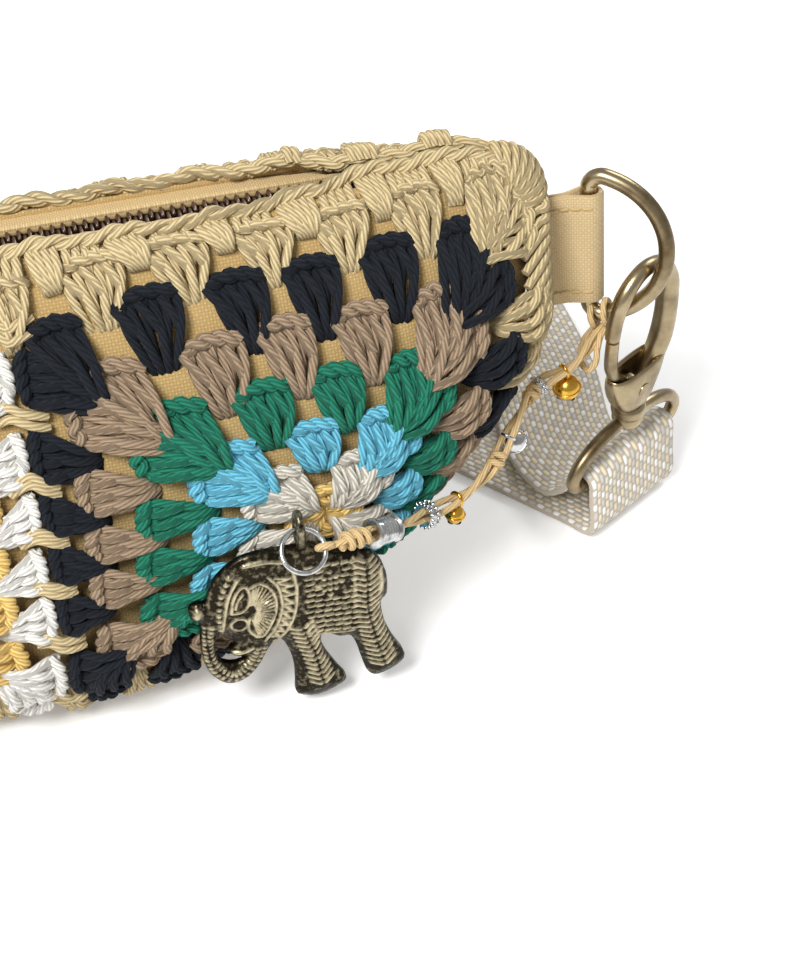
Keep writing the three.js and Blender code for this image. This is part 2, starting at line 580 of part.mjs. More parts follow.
const elephant = flatElephant.add(wire(eyePts, V(1, 0, 0), 0.85, 6, true));
add('elephant_charm', 'bronze', place(elephant, V(CHARM_SHIFT, CHARM_Y, CHARM_RISE), V(1, 0, 0), V(0, 0, 1), V(0, -1, 0)));

export default group;
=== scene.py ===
import math
import bpy
import numpy as np
from mathutils import Matrix, Vector
from mathutils.geometry import delaunay_2d_cdt


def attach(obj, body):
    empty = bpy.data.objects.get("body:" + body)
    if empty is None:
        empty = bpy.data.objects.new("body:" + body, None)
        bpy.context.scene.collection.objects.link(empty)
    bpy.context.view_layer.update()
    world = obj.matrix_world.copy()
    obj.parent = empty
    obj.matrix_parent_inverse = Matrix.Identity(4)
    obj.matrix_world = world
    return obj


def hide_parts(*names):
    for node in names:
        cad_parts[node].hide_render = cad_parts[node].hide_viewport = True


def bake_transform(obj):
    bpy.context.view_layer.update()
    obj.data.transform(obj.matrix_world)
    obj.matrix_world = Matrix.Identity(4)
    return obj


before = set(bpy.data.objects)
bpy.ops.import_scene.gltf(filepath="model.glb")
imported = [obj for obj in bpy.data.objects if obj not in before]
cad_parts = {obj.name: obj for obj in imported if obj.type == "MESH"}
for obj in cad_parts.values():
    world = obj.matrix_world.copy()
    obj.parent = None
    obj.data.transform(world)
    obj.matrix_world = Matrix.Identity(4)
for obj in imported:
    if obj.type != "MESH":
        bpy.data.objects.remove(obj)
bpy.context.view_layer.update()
MM = 0.001
rng = np.random.default_rng(7)

# Camera, floor and studio light
# The bag is seen from its front right and well above, close up, on a white sweep.
# Only the right half is in view.
CAM_RISE = math.radians(43)
CAM_YAW = math.radians(16)
CAM_TARGET = np.array([80.12, -20.0, 56.13])
CAM_DISTANCE = 472.18
LAMP_AIM = Vector((0.06, 0, 0.05))
FLOOR_HALF = 6.0
WHITE_FROM, WHITE_AT = 0.26, 0.8


def add_object(name, data):
    """A new object in the scene."""
    made = bpy.data.objects.new(name, data)
    bpy.context.collection.objects.link(made)
    return made


back = np.array([-math.sin(CAM_YAW) * math.cos(CAM_RISE), -math.cos(CAM_YAW) * math.cos(CAM_RISE),
                 math.sin(CAM_RISE)])
right = np.array([math.cos(CAM_YAW), -math.sin(CAM_YAW), 0.0])
camera = add_object("camera", bpy.data.cameras.new("camera"))
turn = Matrix(np.column_stack([right, np.cross(back, right), back]).tolist()).to_4x4()
camera.matrix_world = Matrix.Translation(Vector((CAM_TARGET + back * CAM_DISTANCE) * MM)) @ turn
camera.data.sensor_width = 36
camera.data.lens = 78.75
camera.data.clip_start = 0.01
bpy.context.scene.camera = camera
bpy.context.scene.view_settings.view_transform = "Standard"


def linear(hex_colour):
    """An sRGB hex value as linear colour with alpha."""
    parts = [int(hex_colour[i:i + 2], 16) / 255 for i in (0, 2, 4)]
    return [c / 12.92 if c <= 0.04045 else ((c + 0.055) / 1.055) ** 2.4 for c in parts] + [1.0]


def set_inputs(node, inputs):
    """Sets a node's inputs to values, or links them from sockets or from other nodes' first outputs."""
    for key, value in inputs.items():
        if isinstance(value, bpy.types.Node):
            value = value.outputs[0]
        if isinstance(value, bpy.types.NodeSocket):
            node.id_data.links.new(value, node.inputs[key])
        else:
            node.inputs[key].default_value = value


def add_node(tree, kind, inputs=None, **settings):
    """One node with its settings and its inputs."""
    made = tree.nodes.new(kind)
    for name, value in settings.items():
        setattr(made, name, value)
    set_inputs(made, inputs or {})
    return made


def maths(tree, operation, *values):
    """A maths node with those inputs in order."""
    return add_node(tree, "ShaderNodeMath", dict(enumerate(values)), operation=operation)


def new_material(name, inputs):
    """A material, its node tree and its shader with those inputs set."""
    mat = bpy.data.materials.new(name)
    mat.use_nodes = True
    shader = mat.node_tree.nodes["Principled BSDF"]
    set_inputs(shader, inputs)
    return mat, mat.node_tree, shader


world = bpy.data.worlds.new("white_sweep")
bpy.context.scene.world = world
world.use_nodes = True
wt = world.node_tree
wt.nodes.clear()
path = add_node(wt, "ShaderNodeLightPath")
seen = maths(wt, "MAXIMUM", path.outputs["Is Camera Ray"], path.outputs["Is Transmission Ray"])
soft, plain = (add_node(wt, "ShaderNodeBackground", {"Color": (1, 1, 1, 1), "Strength": strength})
               for strength in (0.44, 1.0))
both = add_node(wt, "ShaderNodeMixShader", {0: seen, 1: soft, 2: plain})
add_node(wt, "ShaderNodeOutputWorld", {"Surface": both})

for name, spot, size, power in (("key_softbox", (-0.45, -0.5, 0.95), 0.45, 14.5),
                                ("rim_softbox", (0.7, 0.5, 0.8), 0.5, 3.5)):
    lamp = add_object(name, bpy.data.lights.new(name, "AREA"))
    lamp.data.shape, lamp.data.size, lamp.data.energy = "DISK", size, power
    lamp.location = spot
    lamp.rotation_euler = (LAMP_AIM - Vector(spot)).to_track_quat("-Z", "Y").to_euler()

floor_mesh = bpy.data.meshes.new("floor")
CORNERS = ((-1, -1), (1, -1), (1, 1), (-1, 1))
floor_mesh.from_pydata([(x * FLOOR_HALF, y * FLOOR_HALF, 0) for x, y in CORNERS], [], [(0, 1, 2, 3)])
floor = add_object("floor", floor_mesh)
floor.location.z = -0.0004
sweep, ft, _ = new_material("white_paper_sweep", {})
ft.nodes.clear()
ray = add_node(ft, "ShaderNodeLightPath").outputs["Is Camera Ray"]
paper = add_node(ft, "ShaderNodeBsdfDiffuse", {"Color": (0.93, 0.93, 0.93, 1)})
lift = maths(ft, "MULTIPLY", ray, 0.22)
glow = add_node(ft, "ShaderNodeEmission", {"Strength": lift})
lit = add_node(ft, "ShaderNodeAddShader", {0: paper, 1: glow})
spot = add_node(ft, "ShaderNodeNewGeometry")
away = add_node(ft, "ShaderNodeVectorMath", {0: spot.outputs["Position"]}, operation="LENGTH")
fade = add_node(ft, "ShaderNodeMapRange", {0: away.outputs["Value"], 1: WHITE_FROM, 2: WHITE_AT})
far = maths(ft, "MULTIPLY", fade, ray)
white = add_node(ft, "ShaderNodeEmission", {"Strength": 1.0})
faded = add_node(ft, "ShaderNodeMixShader", {0: far, 1: lit, 2: white})
add_node(ft, "ShaderNodeOutputMaterial", {"Surface": faded})
floor_mesh.materials.append(sweep)


# The pouch's outside, which every crocheted and woven layer is laid on
# A stuffed half-moon: deepest in the middle, closing to a narrow upright end, leaning back.
HALF_LENGTH = 123.0
HEIGHT = 114.0
LEAN = math.tan(math.radians(10.8))
END_RISE = 72.5
END_DEPTH, BELLY, BELLY_AT = 11, 23.3, 0.41
LIP_HALF, PANEL = 6, 4.2
PINCH_X, PINCH_RUN, PINCH_Z, PINCH_RISE, PINCH = 68, 50, 78, 34, 0.72
CREST_X, CREST_Z, CREST_R = 113.5, 101.0, 11.0
YARN_FLOOR = 1.2


def run_of(points):
    """The length along a line up to each of its points."""
    return np.concatenate([[0], np.cumsum(np.linalg.norm(np.diff(points, axis=0), axis=1))])


def section(a, t, inset):
    """Depth and height of the pouch's side at share a of its half length; t runs bottom to lip."""
    low = inset - 1.5 + END_RISE * a ** 2.05
    depth = END_DEPTH - inset + BELLY * np.sqrt(np.maximum(0, 1 - a ** 3.07))
    mid = low + BELLY_AT * (HEIGHT - low)
    lip = LIP_HALF + 3 * (1 - inset / PANEL) if inset < PANEL else LIP_HALF + PANEL - inset
    q = np.clip(t, 0, 0.5) * math.pi
    rise = np.clip(t - 0.5, 0, 0.5) * 2
    y = np.where(t < 0.5, depth * np.sin(q) ** 0.8, lip + (depth - lip) * (1 - rise ** 1.8))
    z = np.where(t < 0.5, mid - (mid - low) * np.maximum(0, np.cos(q)) ** 0.8,
                 mid + (HEIGHT - mid) * rise)
    return y, z


def skin_table(inset, across=121, up=81):
    """Points of the front at even shares of each section's length, with their normals."""
    grid = np.zeros((across, up, 3))
    fine = np.linspace(0, 1, 400)
    for i, s in enumerate(np.sin(np.linspace(-1, 1, across) * math.pi / 2)):
        y, z = section(abs(s), fine, inset)
        run = run_of(np.stack([y, z], -1))
        even = np.linspace(0, run[-1], up)
        y, z = np.interp(even, run, y), np.interp(even, run, z)
        grid[i] = np.stack([(HALF_LENGTH - inset) * s + 0 * y, -y + LEAN * z, z], -1)
    normal = np.cross(np.gradient(grid, axis=0), np.gradient(grid, axis=1))
    normal /= np.linalg.norm(normal, axis=2, keepdims=True) + 1e-9
    return grid, normal


def look_up(table, s, f):
    """A table's value at share s of the half length and share f of the section."""
    i = (2 / math.pi * np.arcsin(np.clip(s, -1, 1)) + 1) / 2 * (table.shape[0] - 1)
    j = np.clip(f, 0, 1) * (table.shape[1] - 1)
    i0 = np.clip(np.floor(i).astype(int), 0, table.shape[0] - 2)
    j0 = np.clip(np.floor(j).astype(int), 0, table.shape[1] - 2)
    u, v = (i - i0)[..., None], (j - j0)[..., None]
    return ((table[i0, j0] * (1 - u) + table[i0 + 1, j0] * u) * (1 - v)
            + (table[i0, j0 + 1] * (1 - u) + table[i0 + 1, j0 + 1] * u) * v)


def pinched(p):
    """The points with the pouch's upper ends drawn together, where its lips are sewn shut, and
    their corners rounded."""
    far, high = np.abs(p[..., 0]), p[..., 2]
    k = np.clip((far - PINCH_X) / PINCH_RUN, 0, 1) * np.clip((high - PINCH_Z) / PINCH_RISE, 0, 1)
    k = k * k * (3 - 2 * k)
    middle = LEAN * high
    y = middle + (p[..., 1] - middle) * (1 - PINCH * k)
    u, v = np.maximum(far - CREST_X, 0), np.maximum(high - CREST_Z, 0)
    inward = np.maximum(u, v) / np.maximum(np.hypot(u, v), 1e-6)
    corner = (u > 0) & (v > 0)
    x = np.where(corner, np.sign(p[..., 0]) * (CREST_X + u * inward), p[..., 0])
    z = np.where(corner, CREST_Z + v * inward, high)
    return np.stack([x, y + LEAN * (z - high), z], -1)


SKIN, SKIN_NORMAL = skin_table(0.0)


def turned_back(p):
    """The points of the front turned about the leaning middle, to the rear."""
    return np.stack([p[..., 0], 2 * LEAN * p[..., 2] - p[..., 1], p[..., 2]], -1)


def on_skin(s, f, out, rear=False):
    """Points on the pouch, out millimetres outside it, on its front or its rear."""
    s, f, out = np.broadcast_arrays(*(np.asarray(v, float) for v in (s, f, out)))
    p = look_up(SKIN, s, f) + look_up(SKIN_NORMAL, s, f) * out[..., None]
    p[..., 2] = np.maximum(p[..., 2], YARN_FLOOR)
    return pinched(turned_back(p) if rear else p)


# Canvas pouch and lining
# A sewn pouch of plain-woven beige cotton canvas, open under the zip, with a thin lining.
# It shows between the crochet stitches. A plain weave of coarse thread gives a fine grid.
def make_mesh(name, verts, faces, material):
    """A smooth mesh object from points in millimetres."""
    mesh = bpy.data.meshes.new(name)
    faces = [tuple(int(i) for i in face) for face in faces]
    mesh.from_pydata((np.asarray(verts, float) * MM).tolist(), [], faces)
    mesh.polygons.foreach_set("use_smooth", [True] * len(mesh.polygons))
    mesh.materials.append(material)
    return add_object(name, mesh)


def lay_uv(piece, place):
    """Each point's place on the cloth, in metres, as the piece's UV map."""
    loops = np.zeros(len(piece.data.loops), int)
    piece.data.loops.foreach_get("vertex_index", loops)
    piece.data.uv_layers.new(name="UVMap").data.foreach_set("uv", place[loops].ravel())


def dress(piece, body, nodes):
    """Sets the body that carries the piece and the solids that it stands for."""
    if body:
        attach(piece, body)
    if nodes is not None:
        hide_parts(*nodes)
    return piece


def shade(shader, share, dark, light, bump, depth, height):
    """Ends a material: dark and light mixed by share, and a bump of that depth in millimetres."""
    tree = shader.id_data
    colour = add_node(tree, "ShaderNodeMix", {0: share, 6: dark, 7: light}, data_type="RGBA")
    lifted = add_node(tree, "ShaderNodeBump", {"Strength": bump, "Distance": depth * MM, "Height": height})
    set_inputs(shader, {"Base Color": colour.outputs[2], "Normal": lifted})


def woven(name, light, dark, thread, bump=0.35):
    """Plain-woven cotton: two crossing sets of threads, thread millimetres wide, on the UV map."""
    mat, t, shader = new_material(name, {"Roughness": 0.9, "Sheen Weight": 0.15})
    uv = add_node(t, "ShaderNodeUVMap", uv_map="UVMap")
    split = add_node(t, "ShaderNodeSeparateXYZ", {0: uv})
    waves, sizes = [], []
    for axis in (0, 1):
        phase = maths(t, "MULTIPLY", split.outputs[axis], math.pi / (thread * MM))
        waves.append(maths(t, "SINE", phase))
        sizes.append(maths(t, "ABSOLUTE", waves[axis]))
    cross, top = (maths(t, "MULTIPLY", *pair) for pair in (waves, sizes))
    weave = maths(t, "MULTIPLY_ADD", cross, 0.35, top)
    cloud = add_node(t, "ShaderNodeTexNoise", {"Vector": uv, "Scale": 900.0, "Detail": 3.0})
    mixed = maths(t, "MULTIPLY_ADD", cloud, 0.5, weave)
    ramp = add_node(t, "ShaderNodeMapRange", {0: mixed, 1: 0.0, 2: 1.3})
    shade(shader, ramp, linear(dark), linear(light), bump, depth=0.3, height=weave)
    return mat


def pouch_shell(name, material, inset, wall, top_share):
    """One cloth pouch: an outer and an inner skin joined round the open top."""
    across, up = 81, 41
    shares = np.sin(np.linspace(-1, 1, across) * math.pi / 2)
    skins = []
    for depth in (inset, inset + wall):
        table, _ = skin_table(depth, across, 61)
        front = np.stack([look_up(table, shares, np.full(across, f))
                          for f in np.linspace(0, top_share, up)], 1)
        ring = np.concatenate([front[:, ::-1], turned_back(front)[:, 1:]], 1)
        ring[..., 2] = np.maximum(ring[..., 2], 0.6 + (depth - inset) * 0.5)
        skins.append(pinched(ring))
    outer = skins[0]
    at = np.arange(2 * outer[..., 0].size).reshape(2, across, -1)
    faces = []
    for layer, way in ((at[0], 1), (at[1], -1)):
        quads = np.stack([layer[:-1, :-1], layer[1:, :-1], layer[1:, 1:], layer[:-1, 1:]], -1)
        faces += [quad[::way] for quad in quads.reshape(-1, 4)]
        faces += [layer[0][::way], layer[-1][::-way]]
    for j, way in ((0, 1), (-1, -1)):
        quads = np.stack([at[0, :-1, j], at[1, :-1, j], at[1, 1:, j], at[0, 1:, j]], -1)
        faces += [quad[::way] for quad in quads]
    for i, way in ((0, -1), (-1, 1)):
        faces.append([at[0, i, 0], at[1, i, 0], at[1, i, -1], at[0, i, -1]][::way])
    piece = make_mesh(name + "_cloth", np.concatenate(skins).reshape(-1, 3), faces, material)
    run = np.cumsum(np.linalg.norm(np.diff(outer, axis=1), axis=2), 1)
    run = np.concatenate([np.zeros((across, 1)), run], 1)
    place = np.stack([outer[..., 0], run], -1).reshape(-1, 2) * MM
    lay_uv(piece, np.concatenate([place, place]))
    dress(piece, "bag", [name])


# The pouch's canvas is a darker, more saturated copy of the tabs' canvas: painted shade for the canvas that
# lies in shadow between the crochet stitches.
pouch_canvas_painted_shade = woven("canvas_in_painted_shade", "c8aa74", "a4864f", thread=0.72)
lining_cloth = woven("cotton_lining", "d8c69c", "b9a373", thread=0.5)
pouch_shell("canvas_pouch", pouch_canvas_painted_shade, inset=4.5, wall=1.2, top_share=0.968)
pouch_shell("lining", lining_cloth, inset=6.2, wall=0.8, top_share=0.93)


# Crochet panels
# Two granny squares a side, each worked outward in six rounds of three-stitch groups, every round
# in its own mercerised cotton yarn. Plied yarn shows slanting plies.
YARN_R = 1.1
YARN_SIDES = 7
PLY_TURN = 2.5 * MM
PLIES = 6.0
FACES = (("front", False), ("back", True))


def yarn(name, hex_colour, groove_shade=0.5, rough=0.88):
    """Plied cotton: slanting plies and fine fibres along the strand, with painted shade darkening the grooves
    between plies.
    """
    mat, t, shader = new_material(name, {"Roughness": rough, "Sheen Weight": 0.03,
                                         "Specular IOR Level": 0.12})
    along, around = (add_node(t, "ShaderNodeAttribute", attribute_name=mark).outputs["Fac"]
                     for mark in ("along", "around"))
    turns = maths(t, "MULTIPLY", along, 1 / PLY_TURN)
    lay = maths(t, "MULTIPLY_ADD", around, PLIES, turns)
    phase = maths(t, "MULTIPLY", lay, 2 * math.pi)
    ply = maths(t, "SINE", phase)
    fibre_at = add_node(t, "ShaderNodeCombineXYZ", {0: turns, 1: lay})
    fibre = add_node(t, "ShaderNodeTexNoise", {"Vector": fibre_at, "Scale": 5.0, "Detail": 4.0})
    height = maths(t, "MULTIPLY_ADD", fibre, 0.9, ply)
    ramp = add_node(t, "ShaderNodeMapRange", {0: height, 1: -0.7, 2: 1.1})
    # The groove colour is the yarn's colour times groove_shade: painted shade between the plies, where the
    # yarn itself is one colour.
    base = linear(hex_colour)
    shade(shader, ramp, [c * groove_shade for c in base[:3]] + [1.0], base, bump=0.8, depth=0.14, height=height)
    return mat


YARNS = [yarn("mustard_yarn", "f0cb7c"), yarn("cream_yarn", "ddd6c8"), yarn("sky_yarn", "6fc0d9"),
         yarn("green_yarn", "277c62"), yarn("taupe_yarn", "a58e75"), yarn("navy_yarn", "20242b"),
         yarn("beige_yarn", "d6c194"), yarn("white_yarn", "f4f1ea", groove_shade=0.62)]
MUSTARD, CREAM, SKY, GREEN, TAUPE, NAVY, BEIGE, WHITE = range(8)


def node_group(name, sockets):
    """A Geometry Nodes tree from geometry to geometry, its input node and its other sockets' keys."""
    group = bpy.data.node_groups.new(name, "GeometryNodeTree")
    for way in ("INPUT", "OUTPUT"):
        group.interface.new_socket("Geometry", in_out=way, socket_type="NodeSocketGeometry")
    keys = [group.interface.new_socket(label, in_out="INPUT", socket_type=kind).identifier
            for label, kind in sockets]
    return group, add_node(group, "NodeGroupInput"), keys


def grown(name, maker, group, values):
    """The piece that a tree makes of maker, which goes; values are the tree's settings by key."""
    modifier = maker.modifiers.new(group.name, "NODES")
    modifier.node_group = group
    for key, value in values.items():
        modifier[key] = value
    bpy.context.view_layer.update()
    graph = bpy.context.evaluated_depsgraph_get()
    mesh = bpy.data.meshes.new_from_object(maker.evaluated_get(graph), preserve_all_data_layers=True,
                                           depsgraph=graph)
    bpy.data.objects.remove(maker)
    return add_object(name, mesh)


# Geometry Nodes tree that sweeps a round yarn along every polyline and gives it its colour
tree, start, (RADIUS_KEY, SIDES_KEY) = node_group("swept_yarn", [
    ("Yarn radius", "NodeSocketFloat"), ("Yarn sides", "NodeSocketInt")])
curves = add_node(tree, "GeometryNodeMeshToCurve", {0: start.outputs["Geometry"]})
ring = add_node(tree, "GeometryNodeCurvePrimitiveCircle", {
    "Resolution": start.outputs["Yarn sides"], "Radius": start.outputs["Yarn radius"]})
place = add_node(tree, "GeometryNodeSplineParameter")
marked, ringed = (add_node(tree, "GeometryNodeStoreNamedAttribute", {
    "Geometry": line, "Name": mark, "Value": place.outputs[measure]}, data_type="FLOAT", domain="POINT")
    for line, mark, measure in ((curves, "along", "Length"), (ring, "around", "Factor")))
swept = add_node(tree, "GeometryNodeCurveToMesh", {
    "Curve": marked, "Profile Curve": ringed, "Fill Caps": True})
shaded = add_node(tree, "GeometryNodeSetShadeSmooth", {"Geometry": swept})
last = add_node(tree, "GeometryNodeRealizeInstances", {"Geometry": shaded})
tint = add_node(tree, "GeometryNodeInputNamedAttribute", {"Name": "tint"}, data_type="INT")
for number, material in enumerate(YARNS):
    chosen = add_node(tree, "FunctionNodeCompare", {2: tint, 3: number}, data_type="INT",
                      operation="EQUAL")
    last = add_node(tree, "GeometryNodeSetMaterial", {
        "Geometry": last, "Selection": chosen, "Material": material})
add_node(tree, "NodeGroupOutput", {0: last})


def spun(name, strands):
    """One piece of yarn strands, each (points in millimetres, yarn number), swept by the tree."""
    edges, tints = [], []
    for p, number in strands:
        edges += [(len(tints) + i, len(tints) + i + 1) for i in range(len(p) - 1)]
        tints += [number] * len(p)
    mesh = bpy.data.meshes.new(name)
    mesh.from_pydata((np.concatenate([p for p, _ in strands]) * MM).tolist(), edges, [])
    mesh.attributes.new("tint", "INT", "POINT").data.foreach_set("value", tints)
    return grown(name, add_object(name + "_path", mesh), tree,
                 {RADIUS_KEY: YARN_R * MM, SIDES_KEY: YARN_SIDES})


def smooth_line(points, steps):
    """A smooth line through the points, with steps pieces for each span."""
    p = np.asarray(points, float)
    padded = np.concatenate([[2 * p[0] - p[1]], p, [2 * p[-1] - p[-2]]])
    t = np.linspace(0, 1, steps, endpoint=False)[:, None]
    line = []
    for i in range(len(p) - 1):
        a, b, c, d = padded[i:i + 4]
        line.append(0.5 * (2 * b + (c - a) * t + (2 * a - 5 * b + 4 * c - d) * t ** 2
                           + (3 * b - a - 3 * c + d) * t ** 3))
    return np.concatenate(line + [p[-1:]])


def smooth_loop(points, steps):
    """A smooth line through the points and back to the first, which isn't repeated."""
    return smooth_line(points + points[:1], steps)[:-1]


# Where the square's rounds lie on the pouch: a spline net of shares (s, f) over rounds counted
# from the square's centre, NET_LEFT to 7 across and -7 to 7 up
NET_LEFT = -6.15
LAST_ROUND = 7
NET_S = np.array([
    [0.0, 0.0, 0.0, 0.0, 0.0, 0.0, 0.0], [.087, .059, .053, .044, .050, .065, .086],
    [.203, .227, .266, .300, .325, .274, .234], [.347, .424, .510, .558, .516, .497, .501],
    [.499, .595, .687, .739, .728, .727, .738], [.644, .732, .817, .889, .933, .900, .869],
    [.783, .853, .921, .974, .992, .978, .971]])
NET_F = np.array([
    [.051, .272, .428, .586, .731, .855, .952], [.050, .253, .422, .557, .664, .884, .968],
    [.050, .224, .388, .502, .645, .919, .974], [.050, .172, .307, .446, .642, .914, .964],
    [.050, .110, .193, .327, .573, .900, .973], [.050, .066, .099, .201, .463, .812, .958],
    [.050, .056, .037, .049, .290, .628, .953]])
KNOTS = np.array([0, 0, 0, 0, 0.25, 0.5, 0.75, 1, 1, 1, 1])


def spline_weights(x):
    """The seven cubic spline weights at x from 0 to 1."""
    x = np.clip(np.asarray(x, float), 0, 1 - 1e-9)
    b = [np.where((x >= low) & (x < high), 1.0, 0.0) for low, high in zip(KNOTS, KNOTS[1:])]
    for d in (1, 2, 3):
        for i in range(len(KNOTS) - 1 - d):
            rising, falling = KNOTS[i + d] - KNOTS[i], KNOTS[i + d + 1] - KNOTS[i + 1]
            value = 0 * x
            if rising > 0:
                value = value + (x - KNOTS[i]) / rising * b[i]
            if falling > 0:
                value = value + (KNOTS[i + d + 1] - x) / falling * b[i + 1]
            b[i] = value
    return np.stack(b[:7], -1)


def on_square(a, b, out, hand=1, rear=False):
    """A point of the square a rounds across and b rounds up from its centre, out mm off the skin."""
    u = spline_weights((np.asarray(a, float) - NET_LEFT) / (LAST_ROUND - NET_LEFT))
    v = spline_weights((np.asarray(b, float) + LAST_ROUND) / (2 * LAST_ROUND))
    s, f = (np.einsum("...i,...j,ij->...", u, v, net) for net in (NET_S, NET_F))
    return on_skin(hand * s, f, out, rear)


# One stitch of a group is two legs and a wrap. Each row is the share of the stitch's place in its
# group, then the place across, up and out from there.
LEG_LEFT = [(0.15, -0.06, -0.50, -5.4), (0.25, -0.14, -0.36, -2.9), (0.42, -0.19, -0.02, -1.8),
            (0.64, -0.20, 0.40, -1.3), (0.72, -0.10, 0.80, -1.5), (0.72, 0.02, 0.95, -2.0)]
LEG_RIGHT = [(0.15, 0.06, -0.50, -5.4), (0.25, 0.12, -0.36, -2.7), (0.42, 0.14, -0.06, -0.5),
             (0.64, 0.18, 0.30, -0.1), (0.74, 0.20, 0.62, -1.2), (0.74, 0.14, 0.90, -2.2)]
WRAP = [(0.74, -0.38, 0.86, -2.0), (0.72, -0.24, 0.66, -0.2), (0.66, 0.0, 0.42, 0.3),
        (0.56, 0.20, 0.16, -0.9)]
GROUP_HALF = 0.67
CORNER_LEAN = 0.8
UNEVEN = np.array([0.025, 0.02, 0.2])


def stitch_group(c, k, side, hand, rear, toward=0.0):
    """Strands of one three-stitch group of round k at c rounds along that side of the square.
    A corner group's foot leans toward the corner of the round before."""
    strands = []
    shift, raised, phase, _ = rng.normal(0, 1, 4)
    deep = 1.05 if k == 1 else 1.9 if toward else 1.5
    wide = 0.82 * GROUP_HALF if toward else GROUP_HALF
    c = c - 0.15 * toward

    def put(w, h, out):
        short = (1 - h) / 1.5
        across = c + w * wide + toward * np.clip(short, 0, 1) ** 1.2 + 0.04 * shift
        if toward:
            out = out + 2.0 * np.interp(h, [-0.5, -0.3, 0.3, 0.75], [0.5, 1.0, 0.9, 0.0])
        up = k - deep * short + 0.03 * raised
        a, b = {"top": (across, up), "bottom": (-across, -up), "left": (-up, across),
                "right": (up, -across)}[side]
        return on_square(a, b, out, hand, rear)

    for j in (-1, 0, 1):
        for shape in (LEG_LEFT, LEG_RIGHT, WRAP):
            line = smooth_line([(f * j + w, h, out) for f, w, h, out in shape], 3)
            strands.append(put(*(line + UNEVEN * rng.normal(0, 1, 3)).T))
    t = np.linspace(0, 1, 16)
    for start_at in (0, math.pi):
        spin = 2 * math.pi * 2.0 * t + phase + start_at
        strands.append(put(-1.06 + 2.12 * t, 0.95 + 0.075 * np.cos(spin) - 0.12 * (2 * t - 1) ** 2,
                           -0.6 + 0.75 * np.sin(spin) - 1.4 * (2 * t - 1) ** 4))
    return strands


def square(hand, rear, colours):
    """All the groups of rounds one to six of a square."""
    strands = []
    for k, colour in enumerate(colours, 1):
        for side in ("top", "left", "bottom", "right"):
            for i in range(k):
                toward = CORNER_LEAN * ((i == 0) - (i == k - 1)) if k > 1 else 0.0
                made = stitch_group(2 * i - (k - 1), k, side, hand, rear, toward)
                strands += [(p, colour) for p in made]
    return strands


RIGHT_ROUNDS = [MUSTARD, CREAM, SKY, GREEN, TAUPE, NAVY]
LEFT_ROUNDS = [NAVY, TAUPE, GREEN, SKY, MUSTARD, WHITE]
for where, rear in FACES:
    for name, hand, colours, slot in (("right", 1, RIGHT_ROUNDS, "navy_yarn"),
                                      ("left", -1, LEFT_ROUNDS, "white_yarn")):
        piece = spun(f"granny_square_{where}_{name}", square(hand, rear, colours))
        dress(piece, "bag", [f"crochet_{where}_{name}"])


# Beige frame and top border
# A seventh round of beige groups frames the two squares. A last row of single stitches, bunched
# over the gaps between groups, rises to the lip and ends in a rope-like chain along it.
LIP_X = [0, 45, 58, 72.6, 78, 84, 110, 119]
LIP_GAP = [7.8, 8.0, 6.9, 5.4, 2.6, 1.9, 1.9, 1.8]
LIP_Z = [111.0, 111.0, 111.3, 112.0, 112.0, 112.0, 112.6, 112.0]
BUNCH_X = np.abs(on_square(np.arange(-5.0, 6.0, 2.0), np.full(6, 7.0), 0.0)[:, 0])
BUNCH_HALF, BUNCH_RISE, LIP_SINK = 4.5, 1.1, 0.4
KNOBS_FROM = 66
CHAIN_TURN = 11.0
CHAIN_END = 7


def lip_point(x, out, rise, rear):
    """A point by the lip at x: out millimetres outside its line and rise above it."""
    x = np.asarray(x, float)
    gap = np.interp(np.abs(x), LIP_X, LIP_GAP) + out
    wave = np.exp(-((np.abs(x)[..., None] - BUNCH_X) / BUNCH_HALF) ** 2).max(-1)
    z = np.interp(np.abs(x), LIP_X, LIP_Z) + rise + BUNCH_RISE * wave - LIP_SINK
    return np.stack([x, LEAN * z + (gap if rear else -gap), z + 0 * x], -1)


for where, rear in FACES:
    strands = []
    for hand in (1, -1):
        for c in range(-4, 7, 2):
            lean = CORNER_LEAN if c == 6 else 0.0
            for side, at, toward in (("top", c, -lean), ("right", c, -lean), ("bottom", -c, lean)):
                strands += stitch_group(at, LAST_ROUND, side, hand, rear, toward)
        strands += stitch_group(-6, LAST_ROUND, "right", hand, rear, CORNER_LEAN)
        for c in np.arange(-6.1, 6.25, 0.235):
            off = (c % 2) - 1
            bunched = abs(off) < 0.52
            foot = [(c, 6.9, -2.2), (c, 6.97, -0.2)]
            if bunched:
                waist = c - off * 0.62 + 0.12
                foot = [(waist, 6.46, -3.0), (waist, 6.56, -0.2), (c - off * 0.3 + 0.06, 6.86, 1.0)]
                c = c - off * 0.2
            foot = on_square(*np.array(foot).T, hand, rear)
            x = hand * min(abs(on_square(c, 7.0, 0.0)[0]), CREST_X)
            top = [(0, 1.6, -0.7), (0.4, 0.1, 0.1)]
            if bunched and rear and abs(x) > KNOBS_FROM:
                top = [(0, 2.3, 0.6), (0, 1.7, 2.4), (0.3, 0.1, 2.6), (0.5, -0.9, 1.0)]
            top = [lip_point(x + on, out, rise, rear) for on, out, rise in top]
            strands.append(smooth_line(np.concatenate([foot, top]), 3))
    for side, at in (("top", NET_LEFT), ("bottom", -NET_LEFT)):
        strands += stitch_group(at, LAST_ROUND, side, 1, rear)
    x = np.linspace(-CREST_X, CREST_X, 300)
    sink = 3.0 * np.clip((np.abs(x) - CREST_X + CHAIN_END) / CHAIN_END, 0, 1) ** 2
    for start_at in (0, math.pi):
        spin = x * 2 * math.pi / CHAIN_TURN + start_at
        strands.append(lip_point(x, 0.3 + 0.8 * np.cos(spin), 0.8 - sink + 0.7 * np.sin(spin), rear))
    piece = spun(f"beige_border_{where}", [(p, BEIGE) for p in strands])
    dress(piece, "bag", [f"top_border_{where}"])


